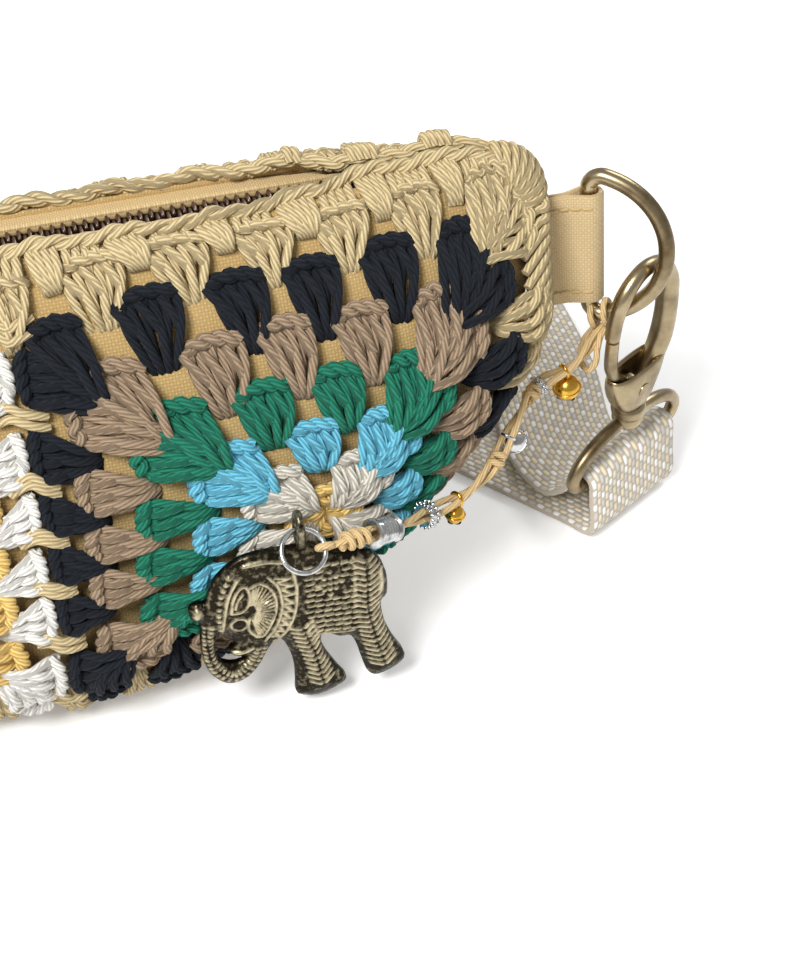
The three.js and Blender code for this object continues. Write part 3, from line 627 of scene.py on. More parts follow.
# Joining edge
# Beige yarn wrapped over the edges of front and back along the bottom and both ends, split round
# the tab, and pairs of whip stitches where the two squares meet in the middle.
WRAP_PITCH = 2.3
WRAP_SLANT = 0.006
TAB_LOW, TAB_HIGH = 70.0, 98.6
END_THIN, END_SWELL, END_TOP, END_RUN = 3, 4.5, 113.5, 14
SEAM_A = np.array([-5.45, -5.8, NET_LEFT])
SEAM_OUT = np.array([-1.8, -0.4, 0.0])
HALF_OVER = [(8.0, 0.55), (5.6, 1.02), (2.4, 0.95), (0.4, 0.55)]
OVER = np.array([(inset, -share) for inset, share in HALF_OVER] + [(-0.4, 0.0)] + HALF_OVER[::-1])


def end_half(z):
    """Half the thickness of the pouch's end at height z."""
    return END_THIN + END_SWELL * min(1.0, (END_TOP - z) / END_RUN)


strands = []
seam = np.linspace(-0.985, 0.985, 4000)
low = section(np.abs(seam), np.zeros(1), 0.0)[1]
run = run_of(np.stack([seam * HALF_LENGTH, low], -1))
for s in np.interp(np.arange(0, run[-1], WRAP_PITCH), run, seam):
    before, after = s - WRAP_SLANT, s + WRAP_SLANT
    line = smooth_line([on_skin(before, 0.085, -2.4), on_skin(before, 0.045, -0.3), on_skin(s, 0.0, 0.2),
                        on_skin(after, 0.045, -0.3, True), on_skin(after, 0.085, -2.4, True)], 4)
    line[:, 2] = np.maximum(line[:, 2], YARN_FLOOR)
    strands.append(line)
up_share = np.linspace(0, 1, 81)
end_z = look_up(SKIN, np.full(81, 0.99), up_share)[:, 2]
for hand in (1, -1):
    for q in np.arange(0.12, math.pi / 2 + 0.1, 0.2):
        outward = np.array([hand * math.cos(q), 0, math.sin(q)])
        line = np.array([hand * CREST_X, 0, CREST_Z]) + outward * (CREST_R - OVER[:, :1])
        line[:, 1] = LEAN * line[:, 2] + end_half(CREST_Z + CREST_R * math.sin(q)) * OVER[:, 1]
        strands.append(smooth_line(line, 4))
    for z in np.arange(73.0, 101.0, 2.25):
        share = np.interp(z, end_z, up_share)
        sides = []
        for sign, rear in ((-1, False), (1, True)):
            sides.append([on_skin(0.95 * hand, share, -1.8, rear), on_skin(0.985 * hand, share, -0.2, rear),
                          np.array([hand * 123.4, LEAN * z + sign * end_half(z), z + 0.8])])
        if TAB_LOW < z < TAB_HIGH:
            for sign, side in zip((-1, 1), sides):
                side.append(np.array([hand * 122.6, LEAN * z + sign * 2.6, z + 1.0]))
                strands.append(smooth_line(side, 4))
        else:
            middle = [np.array([hand * 124.2, LEAN * z, z + 1.0])]
            strands.append(smooth_line(sides[0] + middle + sides[1][::-1], 4))
for where, rear in FACES:
    for b in (-5.9, -4.0, -2.0, 0.0, 2.0, 4.0, 6.0):
        for shift in (-0.14, 0.14):
            one, two = (on_square(SEAM_A, np.full(3, b + shift + up), SEAM_OUT, hand, rear)
                        for hand, up in ((1, 0), (-1, 0.3)))
            strands.append(smooth_line(np.concatenate([one, two[:2][::-1]]), 3))
dress(spun("joining_yarn", [(p, BEIGE) for p in strands]), "bag", ["joining_edge"])


# Zip tapes
# Two strips of beige cotton tape set under the lips and sewn to the canvas, each with a
# corded woven edge beside the teeth. Past the zip's ends they close the pouch under the lips.
ZIP_Z = HEIGHT - 5.3
ZIP_Y = LEAN * ZIP_Z
TAPE_END, TAPE_INNER, ZIP_END = 116, 2.6, 79
CORD_EDGE_Y = 3.3


def unit(v):
    """Vectors of length one."""
    v = np.asarray(v, float)
    return v / np.linalg.norm(v, axis=-1, keepdims=True)


def angles(n):
    """Even angles once round."""
    return np.arange(n) / n * 2 * math.pi


def circle(a, one, two):
    """Points at angles a round a circle with those half axes."""
    return np.cos(a)[:, None] * one + np.sin(a)[:, None] * two


def ring_skin(rings, loop=False):
    """Points and outward faces of rings joined in order, closed by caps or into a loop."""
    n, m = rings.shape[:2]
    faces = []
    for i in range(n if loop else n - 1):
        j = (i + 1) % n
        faces += [(i * m + k, i * m + (k + 1) % m, j * m + (k + 1) % m, j * m + k) for k in range(m)]
    if not loop:
        faces += [tuple(range(m))[::-1], tuple((n - 1) * m + k for k in range(m))]
    return rings.reshape(-1, 3), faces


def tube(points, radius, sides=12, loop=False):
    """A round wire along a path, its section carried without twist."""
    p = np.asarray(points, float)
    n = len(p)
    t = unit(np.roll(p, -1, 0) - np.roll(p, 1, 0) if loop else np.gradient(p, axis=0))
    side = np.cross(t[0], [0.31, 0.22, 0.92])
    rows = []
    for i in list(range(n)) + [0]:
        side = unit(side - t[i] * (side @ t[i]))
        rows.append(side)
    over = math.atan2(np.cross(rows[0], rows[-1]) @ t[0], rows[0] @ rows[-1]) if loop else 0.0
    rows = np.array(rows[:n])
    turn_by = angles(sides) - (np.arange(n) / n * over)[:, None]
    wide = np.broadcast_to(np.asarray(radius, float), n)[:, None, None]
    return ring_skin(p[:, None] + wide * (np.cos(turn_by)[..., None] * rows[:, None]
                                          + np.sin(turn_by)[..., None] * np.cross(t, rows)[:, None]), loop)


def turned(profile, origin, axis, steps=28):
    """A turned shape: (radius, height) pairs from the bottom up along an axis."""
    axis = unit(axis)
    side = unit(np.cross(axis, [0.31, 0.92, 0.22]))
    ring = circle(angles(steps), side, np.cross(axis, side))
    return ring_skin(np.array([np.asarray(origin, float) + axis * h + ring * max(r, 0.02)
                               for r, h in profile]))


# The section of a flat strip, with its edges eased, as shares of its width and thickness
SECTION = np.array([(-.5, -.3), (-.485, -.5), (-.25, -.5), (0, -.5), (.25, -.5), (.485, -.5), (.5, -.3),
                    (.5, .3), (.485, .5), (.25, .5), (0, .5), (-.25, .5), (-.485, .5), (-.5, .3)])


def band(points, across, width, thick):
    """A flat strip along a path; gives its skin and each point's place on the strip."""
    p = np.asarray(points, float)
    w = unit(np.broadcast_to(np.asarray(across, float), p.shape))
    up = unit(np.cross(np.gradient(p, axis=0), w))
    width, thick = (np.broadcast_to(np.asarray(v, float), len(p))[:, None, None] for v in (width, thick))
    rings = (p[:, None] + w[:, None] * SECTION[None, :, :1] * width
             + up[:, None] * SECTION[None, :, 1:] * thick)
    place = np.stack([(SECTION[None, :, 0] + 0.5) * width[..., 0],
                      np.broadcast_to(run_of(p)[:, None], (len(p), len(SECTION)))], -1)
    return ring_skin(rings), place.reshape(-1, 2)


def merged(parts, at=(0, 0, 0)):
    """Several skins as one, moved by at."""
    verts, faces, count = [], [], 0
    for v, f in parts:
        verts.append(np.asarray(v, float) + at)
        faces += [tuple(i + count for i in face) for face in f]
        count += len(v)
    return np.concatenate(verts), faces


def mirrored(part, hand):
    """The part itself, or for the left hand its mirror image with the faces turned round."""
    if hand > 0:
        return part
    return part[0] * [-1, 1, 1], [face[::-1] for face in part[1]]


def build(name, part, material, body, nodes, place=None, crease=50):
    """A finished piece: its mesh, its place on a strip as UV, its body and the solids it stands for."""
    piece = make_mesh(name, *part, material)
    piece.data.set_sharp_from_angle(angle=math.radians(crease))
    if place is not None:
        lay_uv(piece, place * MM)
    return dress(piece, body, nodes)


tape_cloth = woven("cotton_zip_tape", "d6be8e", "ab8f5d", thread=0.55)
x = np.linspace(-TAPE_END, TAPE_END, 90)
reach = np.interp(np.abs(x), LIP_X, LIP_GAP) + 1.3
inner = np.where(np.abs(x) < ZIP_END, TAPE_INNER,
                 np.maximum(0.15, TAPE_INNER - (np.abs(x) - ZIP_END) * 0.4))
rib_x = x[12:-12]
for where, sign in (("front", -1), ("back", 1)):
    path = np.stack([x, ZIP_Y + sign * (inner + reach) / 2, np.full(len(x), ZIP_Z)], -1)
    skin, place = band(path, [0, 1, 0], reach - inner, 1.0)
    rib = np.stack([rib_x, np.full(len(rib_x), ZIP_Y + sign * CORD_EDGE_Y),
                    np.full(len(rib_x), ZIP_Z + 0.75)], -1)
    corded, _ = band(rib, [0, 1, 0], 1.1, 0.9)
    along = rib_x.repeat(len(SECTION))
    uv = np.concatenate([place, np.stack([along * 0.5, along], -1)])
    build(f"zip_tape_cloth_{where}", merged([skin, corded]), tape_cloth, "bag", [f"zip_tape_{where}"],
          uv)


# Zip teeth and stops
# Antique copper teeth crimped on the tape edges, meshing in the middle, with a closed bottom stop
# at the right end and one stop on each row at the left. Each row is one tooth set along a line.
TOOTH_PITCH = 2.4
TOOTH_COUNT = 63
TOOTH = [(0.42, 0.0), (0.52, 0.25), (0.52, 2.9), (0.36, 3.15)]
TOOTH_TALL = 2.1
FIRST_TOOTH = -75.2
STOP_FROM = 76.4
zip_origin = np.array([0, ZIP_Y, ZIP_Z])


def metal(name, bright, dark, rough, spots=260.0, cover=0.5, tumble=0.12):
    """Metal with a worn finish: darker tarnish in clouds, brighter rubbed places, fine scratches."""
    mat, t, shader = new_material(name, {"Metallic": 1.0})
    spot = add_node(t, "ShaderNodeTexCoord").outputs["Object"]
    cloud = add_node(t, "ShaderNodeTexNoise", {"Vector": spot, "Scale": spots, "Detail": 5.0,
                                               "Roughness": 0.6})
    ramp = add_node(t, "ShaderNodeMapRange", {0: cloud, 1: cover - 0.18, 2: cover + 0.14})
    gloss = add_node(t, "ShaderNodeMapRange", {0: ramp, 3: rough + 0.16, 4: rough})
    set_inputs(shader, {"Roughness": gloss})
    grain = add_node(t, "ShaderNodeTexNoise", {"Vector": spot, "Scale": 2400.0, "Detail": 2.0})
    shade(shader, ramp, linear(dark), linear(bright), tumble, depth=0.05, height=grain)
    return mat


copper = metal("antique_copper", "a38d80", "52413a", rough=0.3)
row_tree, first, (COUNT_KEY, PITCH_KEY, START_KEY) = node_group("tooth_row", [
    ("Tooth count", "NodeSocketInt"), ("Tooth pitch", "NodeSocketVector"),
    ("Row start", "NodeSocketVector")])
seats = add_node(row_tree, "GeometryNodeMeshLine", {
    "Count": first.outputs["Tooth count"], "Start Location": first.outputs["Row start"],
    "Offset": first.outputs["Tooth pitch"]}, mode="OFFSET")
seated = add_node(row_tree, "GeometryNodeInstanceOnPoints", {
    "Points": seats, "Instance": first.outputs["Geometry"]})
whole = add_node(row_tree, "GeometryNodeRealizeInstances", {"Geometry": seated})
coppered = add_node(row_tree, "GeometryNodeSetMaterial", {"Geometry": whole, "Material": copper})
add_node(row_tree, "NodeGroupOutput", {0: coppered})
for where, sign in (("front", -1), ("back", 1)):
    v, f = turned(TOOTH, (0, -sign * 0.55, 0), (0, sign, 0), 8)
    tooth = make_mesh(f"tooth_{where}", v * [1, 1, TOOTH_TALL], f, copper)
    row_start = zip_origin + [FIRST_TOOTH + sign * TOOTH_PITCH / 4, 0, 0]
    piece = grown(f"tooth_row_{where}", tooth, row_tree, {
        COUNT_KEY: TOOTH_COUNT, PITCH_KEY: (TOOTH_PITCH * MM, 0, 0), START_KEY: tuple(row_start * MM)})
    dress(piece, "bag", [f"zip_teeth_{where}"])


def block(x0, x1, y0, y1, z0, z1, soft):
    """A box with softened edges: a stack of rounded outlines."""
    a = angles(24)
    rings = []
    for inset, z in ((soft, z0), (0.3 * soft, z0 + 0.3 * soft), (0, z0 + soft), (0, z1 - soft),
                     (0.3 * soft, z1 - 0.3 * soft), (soft, z1)):
        hx, hy = (x1 - x0) / 2 - inset, (y1 - y0) / 2 - inset
        k = min(hx, hy, 2.2 * soft)
        px = np.cos(a) * k + np.sign(np.round(np.cos(a), 6)) * (hx - k)
        py = np.sin(a) * k + np.sign(np.round(np.sin(a), 6)) * (hy - k)
        rings.append(np.stack([(x0 + x1) / 2 + px, (y0 + y1) / 2 + py, np.full(24, z)], -1))
    return ring_skin(np.array(rings))


for name, span in (("zip_stop_right", (STOP_FROM, ZIP_END, -2.5, 2.5)),
                   ("zip_stop_left_front", (-ZIP_END, -STOP_FROM, -2.6, -0.7)),
                   ("zip_stop_left_back", (-ZIP_END, -STOP_FROM, 0.7, 2.6))):
    crimp = merged([block(*span, -1.2, 1.3, 0.45)], zip_origin)
    build(name + "_crimp", crimp, copper, "bag", [name])


# Zip slider and pull
# A cast copper slider, two plates joined at its nose, with a bridge that holds a flat tongue pull.
SLIDER_X = -66
PULL_Z = 3.45
slider_at = zip_origin + [SLIDER_X, 0, 0]


def closed(corners, steps):
    """The straight-sided loop through the corners, with steps pieces a side."""
    return np.array([p for one, two in zip(corners, corners[1:] + corners[:1])
                     for p in np.linspace(one, two, steps + 1)[:-1]])


bridge = [(-2.9, 0, 2.2), (-2.4, 0, 3.9), (-1.0, 0, 5.0), (1.0, 0, 5.0), (2.4, 0, 3.9), (2.9, 0, 2.2)]
plates = [block(-4.6, 4.6, -3.7, 3.7, low, high, 0.45) for low, high in ((1.4, 2.5), (-2.5, -1.4))]
nose = block(-4.4, -2.4, -0.6, 0.6, -1.6, 1.6, 0.2)
slider = merged(plates + [nose, tube(smooth_line(bridge, 4), 0.75, 10)], slider_at)
build("slider_cast", slider, copper, "slider", ["zip_slider"])
eye = closed([(0, -2.0, 0), (0, 2.0, 0), (2.4, 2.35, 0), (6.4, 2.0, 0), (6.4, -2.0, 0), (2.4, -2.35, 0)], 4)
tongue = block(5.8, 23, -2.5, 2.5, -0.7, 0.7, 0.35)
pull = merged([tube(eye, 0.6, 10, True), tongue], slider_at + [0, 0, PULL_Z])
build("pull_tongue", pull, copper, "pull", ["zip_pull"])


# Canvas tabs
# A strip of fine canvas folded round the ring's straight bar, sewn shut beside it with two
# lines of thread and caught in the end seam.
SIDES = (("right", 1), ("left", -1))
BAR_Z = 84.5
BAR = np.array([HALF_LENGTH + 13.2, LEAN * BAR_Z, BAR_Z])
TILT = math.atan(LEAN)
BAR_AXIS = np.array([0, math.sin(TILT), math.cos(TILT)])
TAB_NORMAL = np.array([0, math.cos(TILT), -math.sin(TILT)])
EX = np.array([1.0, 0, 0])
TAB_WIDTH, TAB_THICK = 27.4, 1.3
FOLD_R = 2.95
SEWN_AT = 10.6
canvas = woven("cotton_canvas", "cfb98f", "b2976a", thread=0.62, bump=0.3)
thread = yarn("sewing_thread", "cbb27e", groove_shade=0.7)
closing = [(-14.5, 0.75), (-9, 0.75), (-5.6, 0.85), (-3.2, 1.75)]
fold = [(x, -n) for x, n in closing]
fold += [(FOLD_R * math.cos(a), FOLD_R * math.sin(a)) for a in np.radians(np.linspace(-125, 125, 13))]
fold = smooth_line(fold + closing[::-1], 2)
tab_path = BAR + fold[:, :1] * EX + fold[:, 1:] * TAB_NORMAL
tab_skin, tab_place = band(tab_path, BAR_AXIS, TAB_WIDTH, TAB_THICK)
bulge_x, bulge_n = zip(*closing[1:], (-1.8, 2.35), (0.0, FOLD_R))
stitches = []
for face in (-1, 1):
    for edge_at in (-SEWN_AT, SEWN_AT):
        for x0 in np.arange(-12.4, -0.5, 2.5):
            line = [BAR + EX * (x0 + d) + BAR_AXIS * edge_at
                    + TAB_NORMAL * face * (n + np.interp(x0 + d, bulge_x, bulge_n))
                    for d, n in ((0, 0.5), (0.4, 0.8), (1.6, 0.8), (2.0, 0.5))]
            stitches.append(tube(smooth_line(line, 2), 0.36, 6))
for side, hand in SIDES:
    build(f"tab_canvas_{side}", mirrored(tab_skin, hand), canvas, "bag", [f"tab_{side}"],
          tab_place)
    sewn = make_mesh(f"tab_stitches_{side}", *mirrored(merged(stitches), hand), thread)
    dress(sewn, "bag", None)


# D-rings
# Bent round rod of antique-finished brass, its straight side inside the tab's fold.
brass = metal("antique_brass", "b4a382", "65543b", rough=0.25, spots=70.0, cover=0.47, tumble=0.08)
RING_TURN = math.radians(-35)
RING_X = EX * math.cos(RING_TURN) + np.cross(BAR_AXIS, EX) * math.sin(RING_TURN)
RING_REACH, RING_HALF, RING_ROD = 18.6, 17.9, 1.95


def both_ends(material, slot, *rows):
    """Each row's (name, part, body, node), built at the right end and mirrored at the left."""
    for side, hand in SIDES:
        for name, part, body, node in rows:
            build(f"{name}_{side}", mirrored(part, hand), material, f"{body}_{side}",
                  [f"{node}_{side}"])


ring_line = [(0.35, 15.9), (1.4, 17.05)]
ring_line += [(RING_REACH * math.cos(a), RING_HALF * math.sin(a))
              for a in np.radians(np.linspace(80, -80, 25))]
ring_line += [(1.4, -17.05), (0.35, -15.9)] + [(0, z) for z in (-14.6, -7, 0, 7, 14.6)]
ring_line = smooth_loop(ring_line, 3)
ring_part = tube(BAR + ring_line[:, :1] * RING_X + ring_line[:, 1:] * BAR_AXIS, RING_ROD, 16, True)
both_ends(brass, "brass", ("ring_rod", ring_part, "ring", "d_ring"))


# Swivel hooks with their gates and rivets
# Cast brass hooks: a cup-shaped body that holds the sprung gate on a rivet, and a thick arm that
# bends over into the nose. The gate's tip closes on the nose from inside.
A = unit([-0.015, -0.087, 0.996])
W = np.array([math.cos(math.radians(30)), math.sin(math.radians(30)), 0.0])
W = unit(W - A * (W @ A))
N = np.cross(W, A)
RIVET_H = 9.6


def on_ring(angle):
    """A point of the right ring's rod at that angle round it."""
    return BAR + RING_X * RING_REACH * math.cos(angle) + BAR_AXIS * RING_HALF * math.sin(angle)


NECK = on_ring(math.radians(-50)) + 3 * W - 39 * A - N


def in_hook(w, h, n=0.0):
    """Points in the hook's own axes: across it, up its length and out of its face."""
    w, h, n = np.broadcast_arrays(*(np.asarray(v, float) for v in (w, h, n)))
    return NECK + w[..., None] * W + h[..., None] * A + n[..., None] * N


arm = [(4.5, 9), (7.8, 14.6), (9.8, 20), (10.4, 27)]
arm += [(10.1 * math.cos(a), 33 + 14.2 * math.sin(a)) for a in np.radians(np.linspace(0, 180, 13))]
arm = smooth_line(arm + [(-10.1, 31.4)], 4)
arm_r = np.interp(np.linspace(0, 1, len(arm)), [0, 0.12, 0.3, 0.45, 0.53, 0.66, 0.78, 1],
                  [2.6, 2.9, 2.75, 2.35, 1.96, 1.96, 2.1, 1.85])
# The cup's rings: height, middle, half width and half depth, up its outside and down its inside
cup = [(2.2, 0, 3.4, 2.8), (2.9, 0, 4.4, 3.5), (5, -0.1, 5.9, 4.0), (8, 0, 7.4, 4.15), (11, 0.3, 8.7, 4.1),
       (13.5, 0.6, 9.5, 3.8), (15.2, 0.9, 9.9, 3.5), (15.6, 0.9, 9.5, 3.0), (15.1, 0.7, 8.9, 2.3),
       (12, 0.2, 7.6, 2.2), (8.4, 0, 5.4, 2.1), (7.2, 0, 4.0, 1.9)]
wide, deep = (np.sign(v) * np.abs(v) ** 0.72 for v in (np.cos(angles(40)), np.sin(angles(40))))
cup_rings = np.array([in_hook(mid + half * wide, h, -thick * deep) for h, mid, half, thick in cup])
hook_part = merged([tube(in_hook(arm[:, 0], arm[:, 1]), arm_r, 16), ring_skin(cup_rings),
                    turned([(3.2, -0.4), (4.4, 0.0), (4.5, 1.2), (4.2, 2.2), (3.4, 2.8)], NECK, A)])
finger = smooth_line([(-0.4, RIVET_H), (-4.2, 13.2), (-7.6, 17), (-9.3, 21), (-9.8, 26), (-9.8, 30.2)], 4)
finger_r = np.interp(np.linspace(0, 1, len(finger)), [0, 0.3, 0.6, 1], [1.2, 1.35, 1.7, 1.6])
gate_part = merged([tube(in_hook(finger[:, 0], finger[:, 1]), finger_r, 14),
                    turned([(1.9, -1.4), (2.2, -1.2), (2.2, 1.2), (1.9, 1.4)], in_hook(0, RIVET_H), N)])
rivet_part = turned([(1.5, -4.4), (1.9, -4.25), (1.95, -3.9), (1.1, -3.7), (1.1, 3.7), (1.95, 3.9),
                     (1.9, 4.25), (1.5, 4.4)], in_hook(0, RIVET_H), N)
both_ends(brass, "brass", ("hook_cast", hook_part, "hook", "hook"),
          ("gate_finger", gate_part, "gate", "hook_gate"), ("rivet_pin", rivet_part, "hook", "gate_rivet"))


# Swivel bails
# Bent brass rod closed into a flat loop, with a collar and a pin that turns in the hook's neck.
BAIL_BAR = -15.5
BAIL_ROD = 1.75
bow = [(0, -2.9), (6, -3.3), (12, -4.7), (16.8, -7.4), (19.4, -11), (18.9, -14.2), (16.6, BAIL_BAR),
       (8, BAIL_BAR)]
bow += [(0, BAIL_BAR)] + [(-w, h) for w, h in bow[:0:-1]]
bow = smooth_loop(bow, 5)
collar = [(1.9, -5.0), (3.1, -4.6), (3.9, -3.2), (4.0, -1.7), (3.4, -0.9), (1.6, -0.8), (1.6, 3.4),
          (2.2, 3.6), (2.2, 5.4), (1.9, 5.6)]
bail_part = merged([tube(in_hook(bow[:, 0], bow[:, 1]), BAIL_ROD, 14, True), turned(collar, NECK, A)])
both_ends(brass, "brass", ("bail_rod", bail_part, "bail", "swivel_bail"))


# Shoulder strap
# Cotton webbing, 32 mm wide, woven in white, grey and beige so that long floats of each colour
# step across it. It goes over each bail's bar; its ends lie on the floor and fold up behind the bag.
WEB, WEB_THICK = 32.0, 1.8
FLOAT_WIDE, FLOAT_LONG = 1.5 * MM, 2.7 * MM
WRAP_R = BAIL_ROD + 0.45 + WEB_THICK / 2
LEG_TOP = BAIL_BAR - 0.03
LIE, LIE_LEAST = 1.3, 1.2
STEPS = 6
GLIDE_AT = 72.0
FOLD = 2.5
STACK_Z = 3.7
TAIL = 6


def webbing_cloth(name, pairs, gap):
    """Webbing of oval floats: columns of white and grey by turns between columns of two beiges,
    each column half a float on from the next."""
    mat, t, shader = new_material(name, {"Roughness": 0.85, "Sheen Weight": 0.1})
    uv = add_node(t, "ShaderNodeUVMap", uv_map="UVMap")
    split = add_node(t, "ShaderNodeSeparateXYZ", {0: uv})
    column, row = (maths(t, "MULTIPLY", split.outputs[axis], 1 / size)
                   for axis, size in enumerate((FLOAT_WIDE, FLOAT_LONG)))
    column_no = maths(t, "FLOOR", column)
    row_on = maths(t, "MULTIPLY_ADD", column_no, 0.5, row)
    row_no = maths(t, "FLOOR", row_on)
    odd, second = (maths(t, "FLOORED_MODULO", number, 2.0) for number in (column_no, row_no))
    white_grey, beiges = (add_node(t, "ShaderNodeMix", {0: second, 6: linear(one), 7: linear(two)},
                                   data_type="RGBA").outputs[2] for one, two in pairs)
    warp = add_node(t, "ShaderNodeMix", {0: odd, 6: white_grey, 7: beiges}, data_type="RGBA")
    rounds = []
    for value in (column, row_on):
        part_of = maths(t, "FRACT", value)
        half_turn = maths(t, "MULTIPLY", part_of, math.pi)
        rounds.append(maths(t, "SINE", half_turn))
    swell = maths(t, "MULTIPLY", *rounds)
    edge = add_node(t, "ShaderNodeMapRange", {0: swell, 1: 0.08, 2: 0.55})
    shade(shader, edge, linear(gap), warp.outputs[2], bump=0.7, depth=0.45, height=swell)
    return mat


webbing = webbing_cloth("cotton_webbing", [("fcfbf8", "cfccc5"), ("f0e0be", "ebe1d0")], "bdb2a0")
bar_mid = in_hook(0, BAIL_BAR)
flat_w = unit([W[0], W[1], 0])
flat_n = np.array([flat_w[1], -flat_w[0], 0])
LEG_DIR = np.array([-0.625, 0.781, 0])
LEG_W = np.array([0.781, 0.625, 0])


def by_bar(f, z):
    """A point f in front of the bail's bar, at height z."""
    return (bar_mid + flat_n * f) * [1, 1, 0] + [0, 0, z]


leg_from = by_bar(-4, LIE)


def leg_at(d, z=LIE):
    """A point d along the leg that lies on the floor."""
    return (leg_from + LEG_DIR * d) * [1, 1, 0] + [0, 0, z]


STACK_Y = leg_at(GLIDE_AT)[1] + 11 * LEG_DIR[1] + 20 * LEG_W[1] + LIE + WEB / 2
LEG_END = (STACK_Y - 13.4 - leg_from[1]) / LEG_DIR[1]
a = np.linspace(0, math.pi, 9)
wrap_line = in_hook(0 * a, BAIL_BAR + WRAP_R * np.sin(a), WRAP_R * np.cos(a))
floor_line = [in_hook(0, LEG_TOP, WRAP_R), by_bar(3.6, bar_mid[2] - 6), by_bar(4.4, 7),
              by_bar(3.9, 3.6), by_bar(2, 1.7), leg_at(2), leg_at(16)]
floor_w = [W] + [flat_w] * 4 + [0.55 * flat_w + 0.45 * LEG_W, LEG_W]
hump = [leg_at(GLIDE_AT + d, z) for d, z in (
    (-10, LIE), (-8.2, LIE), (-2.9, 5.7), (2.9, 5.7), (8.2, LIE), (10, LIE))]
rear_line = [in_hook(0, LEG_TOP, -WRAP_R), by_bar(-5, bar_mid[2] - 5), by_bar(-8, bar_mid[2] - 9),
             by_bar(-13, 6.2)]
rear_line += [bar_mid * [1, 1, 0] + on for on in ([-8, 24, 4.7], [-5, 46, 4.3], [-3, 70, 1.5])]
rear_line.append(np.array([bar_mid[0] - 3, STACK_Y + 1.9, LIE]))
rear_w = [W] + [flat_w + (EX - flat_w) * k for k in (0, 0, 0.1, 0.5, 0.8, 1, 1)]
for side, hand in SIDES:
    skin, place = band(smooth_line(wrap_line, 2), W, WEB, WEB_THICK)
    wrap = build(f"webbing_wrap_{side}", mirrored(skin, hand), webbing, f"bail_{side}",
                 [f"strap_wrap_{side}"], place)
    over = hump if hand > 0 else []
    ends = floor_line + over + [leg_at(LEG_END)]
    for leg, points, across, others in (("floor", ends, floor_w + [LEG_W] * (len(over) + 1), [wrap]),
                                        ("rear", rear_line, rear_w, [])):
        path = smooth_line(points, STEPS)
        if leg == "floor":
            path[3 * STEPS:, 2] = np.maximum(path[3 * STEPS:, 2], LIE_LEAST)
        skin, place = band(path, smooth_line(across, STEPS), WEB, WEB_THICK)
        rings, spots = skin[0].reshape(len(path), -1, 3), place.reshape(len(path), -1, 2)
        for part, one, two, begin, end in (("top", "bail_" + side, "hook_" + side, 0, STEPS),
                                           ("bend", "hook_" + side, "ring_" + side, STEPS, 2 * STEPS),
                                           ("leg", "ring_" + side, "bag", 2 * STEPS, len(path) - 1)):
            solids = [f"strap_{leg}_leg_{side}"] if part == "leg" else []
            length = mirrored(ring_skin(rings[begin:end + 1]), hand)
            piece = build(f"webbing_{leg}_{part}_{side}", length, webbing, None, solids,
                          spots[begin:end + 1].reshape(-1, 2))
            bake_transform(piece)

STACK_X = BAR[0] - 4.2
stack = [(-STACK_X - TAIL, STACK_Z + FOLD * 2), (STACK_X, STACK_Z + FOLD * 2)]
for end, level, far_x in ((1, 1, -STACK_X), (-1, 0, STACK_X + TAIL)):
    middle = STACK_Z + FOLD * (level + 0.5)
    stack += [(end * (STACK_X + math.cos(a) * FOLD / 2), middle + math.sin(a) * FOLD / 2)
              for a in np.radians((60, 30, 0, -30, -60))]
    stack += [(end * STACK_X, STACK_Z + FOLD * level), (far_x, STACK_Z + FOLD * level)]
stack = np.array([(x, STACK_Y, z) for x, z in stack])
skin, place = band(stack, [0, 1, 0], WEB, WEB_THICK)
piece = build("webbing_fold", skin, webbing, "bag", ["strap_back"], place)


# Strap adjuster
# A flat brass frame with a middle bar; the webbing comes up through it, over the bar and down.
GLIDE_HALF, GLIDE_WIDE, GLIDE_Z = 9.6, 18.4, 3.4
glide = closed([(x * GLIDE_HALF, y * GLIDE_WIDE, GLIDE_Z) for x, y in CORNERS], 8)
bar = [(0, -GLIDE_WIDE, GLIDE_Z), (0, 0, GLIDE_Z), (0, GLIDE_WIDE, GLIDE_Z)]
v, f = merged([tube(glide, 1.25, 10, True), tube(bar, 1.2, 10)])
v = leg_at(GLIDE_AT, 0) + v[:, :1] * LEG_DIR - v[:, 1:2] * LEG_W + v[:, 2:] * [0, 0, 1]
build("adjuster_frame", (v, f), brass, "bag", ["strap_adjuster"])


# Charm cord
# Waxed beige cotton cord, doubled and hitched on the right ring, knotted between its bells and
# beads and looped through the jump ring at its end. Both strands follow one path, lightly twisted.
waxed = yarn("waxed_cotton_cord", "dfc08c", groove_shade=0.75, rough=0.5)
CORD_R = 0.8
CORD_SIDES = 10
CORD_TWIST = 42
HITCH = math.radians(-79)
HITCH_R = RING_ROD + 0.2 + CORD_R
hitch_at = on_ring(HITCH)
hitch_t = unit(on_ring(HITCH + 0.01) - hitch_at)
hitch_down = unit(-BAR_AXIS + hitch_t * (BAR_AXIS @ hitch_t))
hitch_side = np.cross(hitch_t, hitch_down)
CHARM_TOP = np.array([54.2, -30.0, 57.0])
JUMP_R = 4.9
JUMP_UP = np.array([0, 0.8, 0.6])
JUMP_N = np.cross(EX, JUMP_UP)
LOOP_R = 1.65
jump_at = CHARM_TOP - JUMP_UP * JUMP_R
end_at = jump_at + EX * JUMP_R
cord_line = smooth_line([
    hitch_at + hitch_down * HITCH_R, (130, 4, 59.4), (119.8, 1, 57.2), (111, -7, 53), (105.5, -11, 46.6),
    (98.4, -15.5, 44.2), (90.7, -19.5, 44.8), (83.3, -23.5, 46.6), (76.3, -28, 50), (70, -31.5, 52.6),
    (65, -33.2, 53.8), end_at + EX * LOOP_R], 8)
cord_run = run_of(cord_line)
cord_t = unit(np.gradient(cord_line, axis=0))
cord_side = unit(np.cross(cord_t, [0, 0, 1.0]))
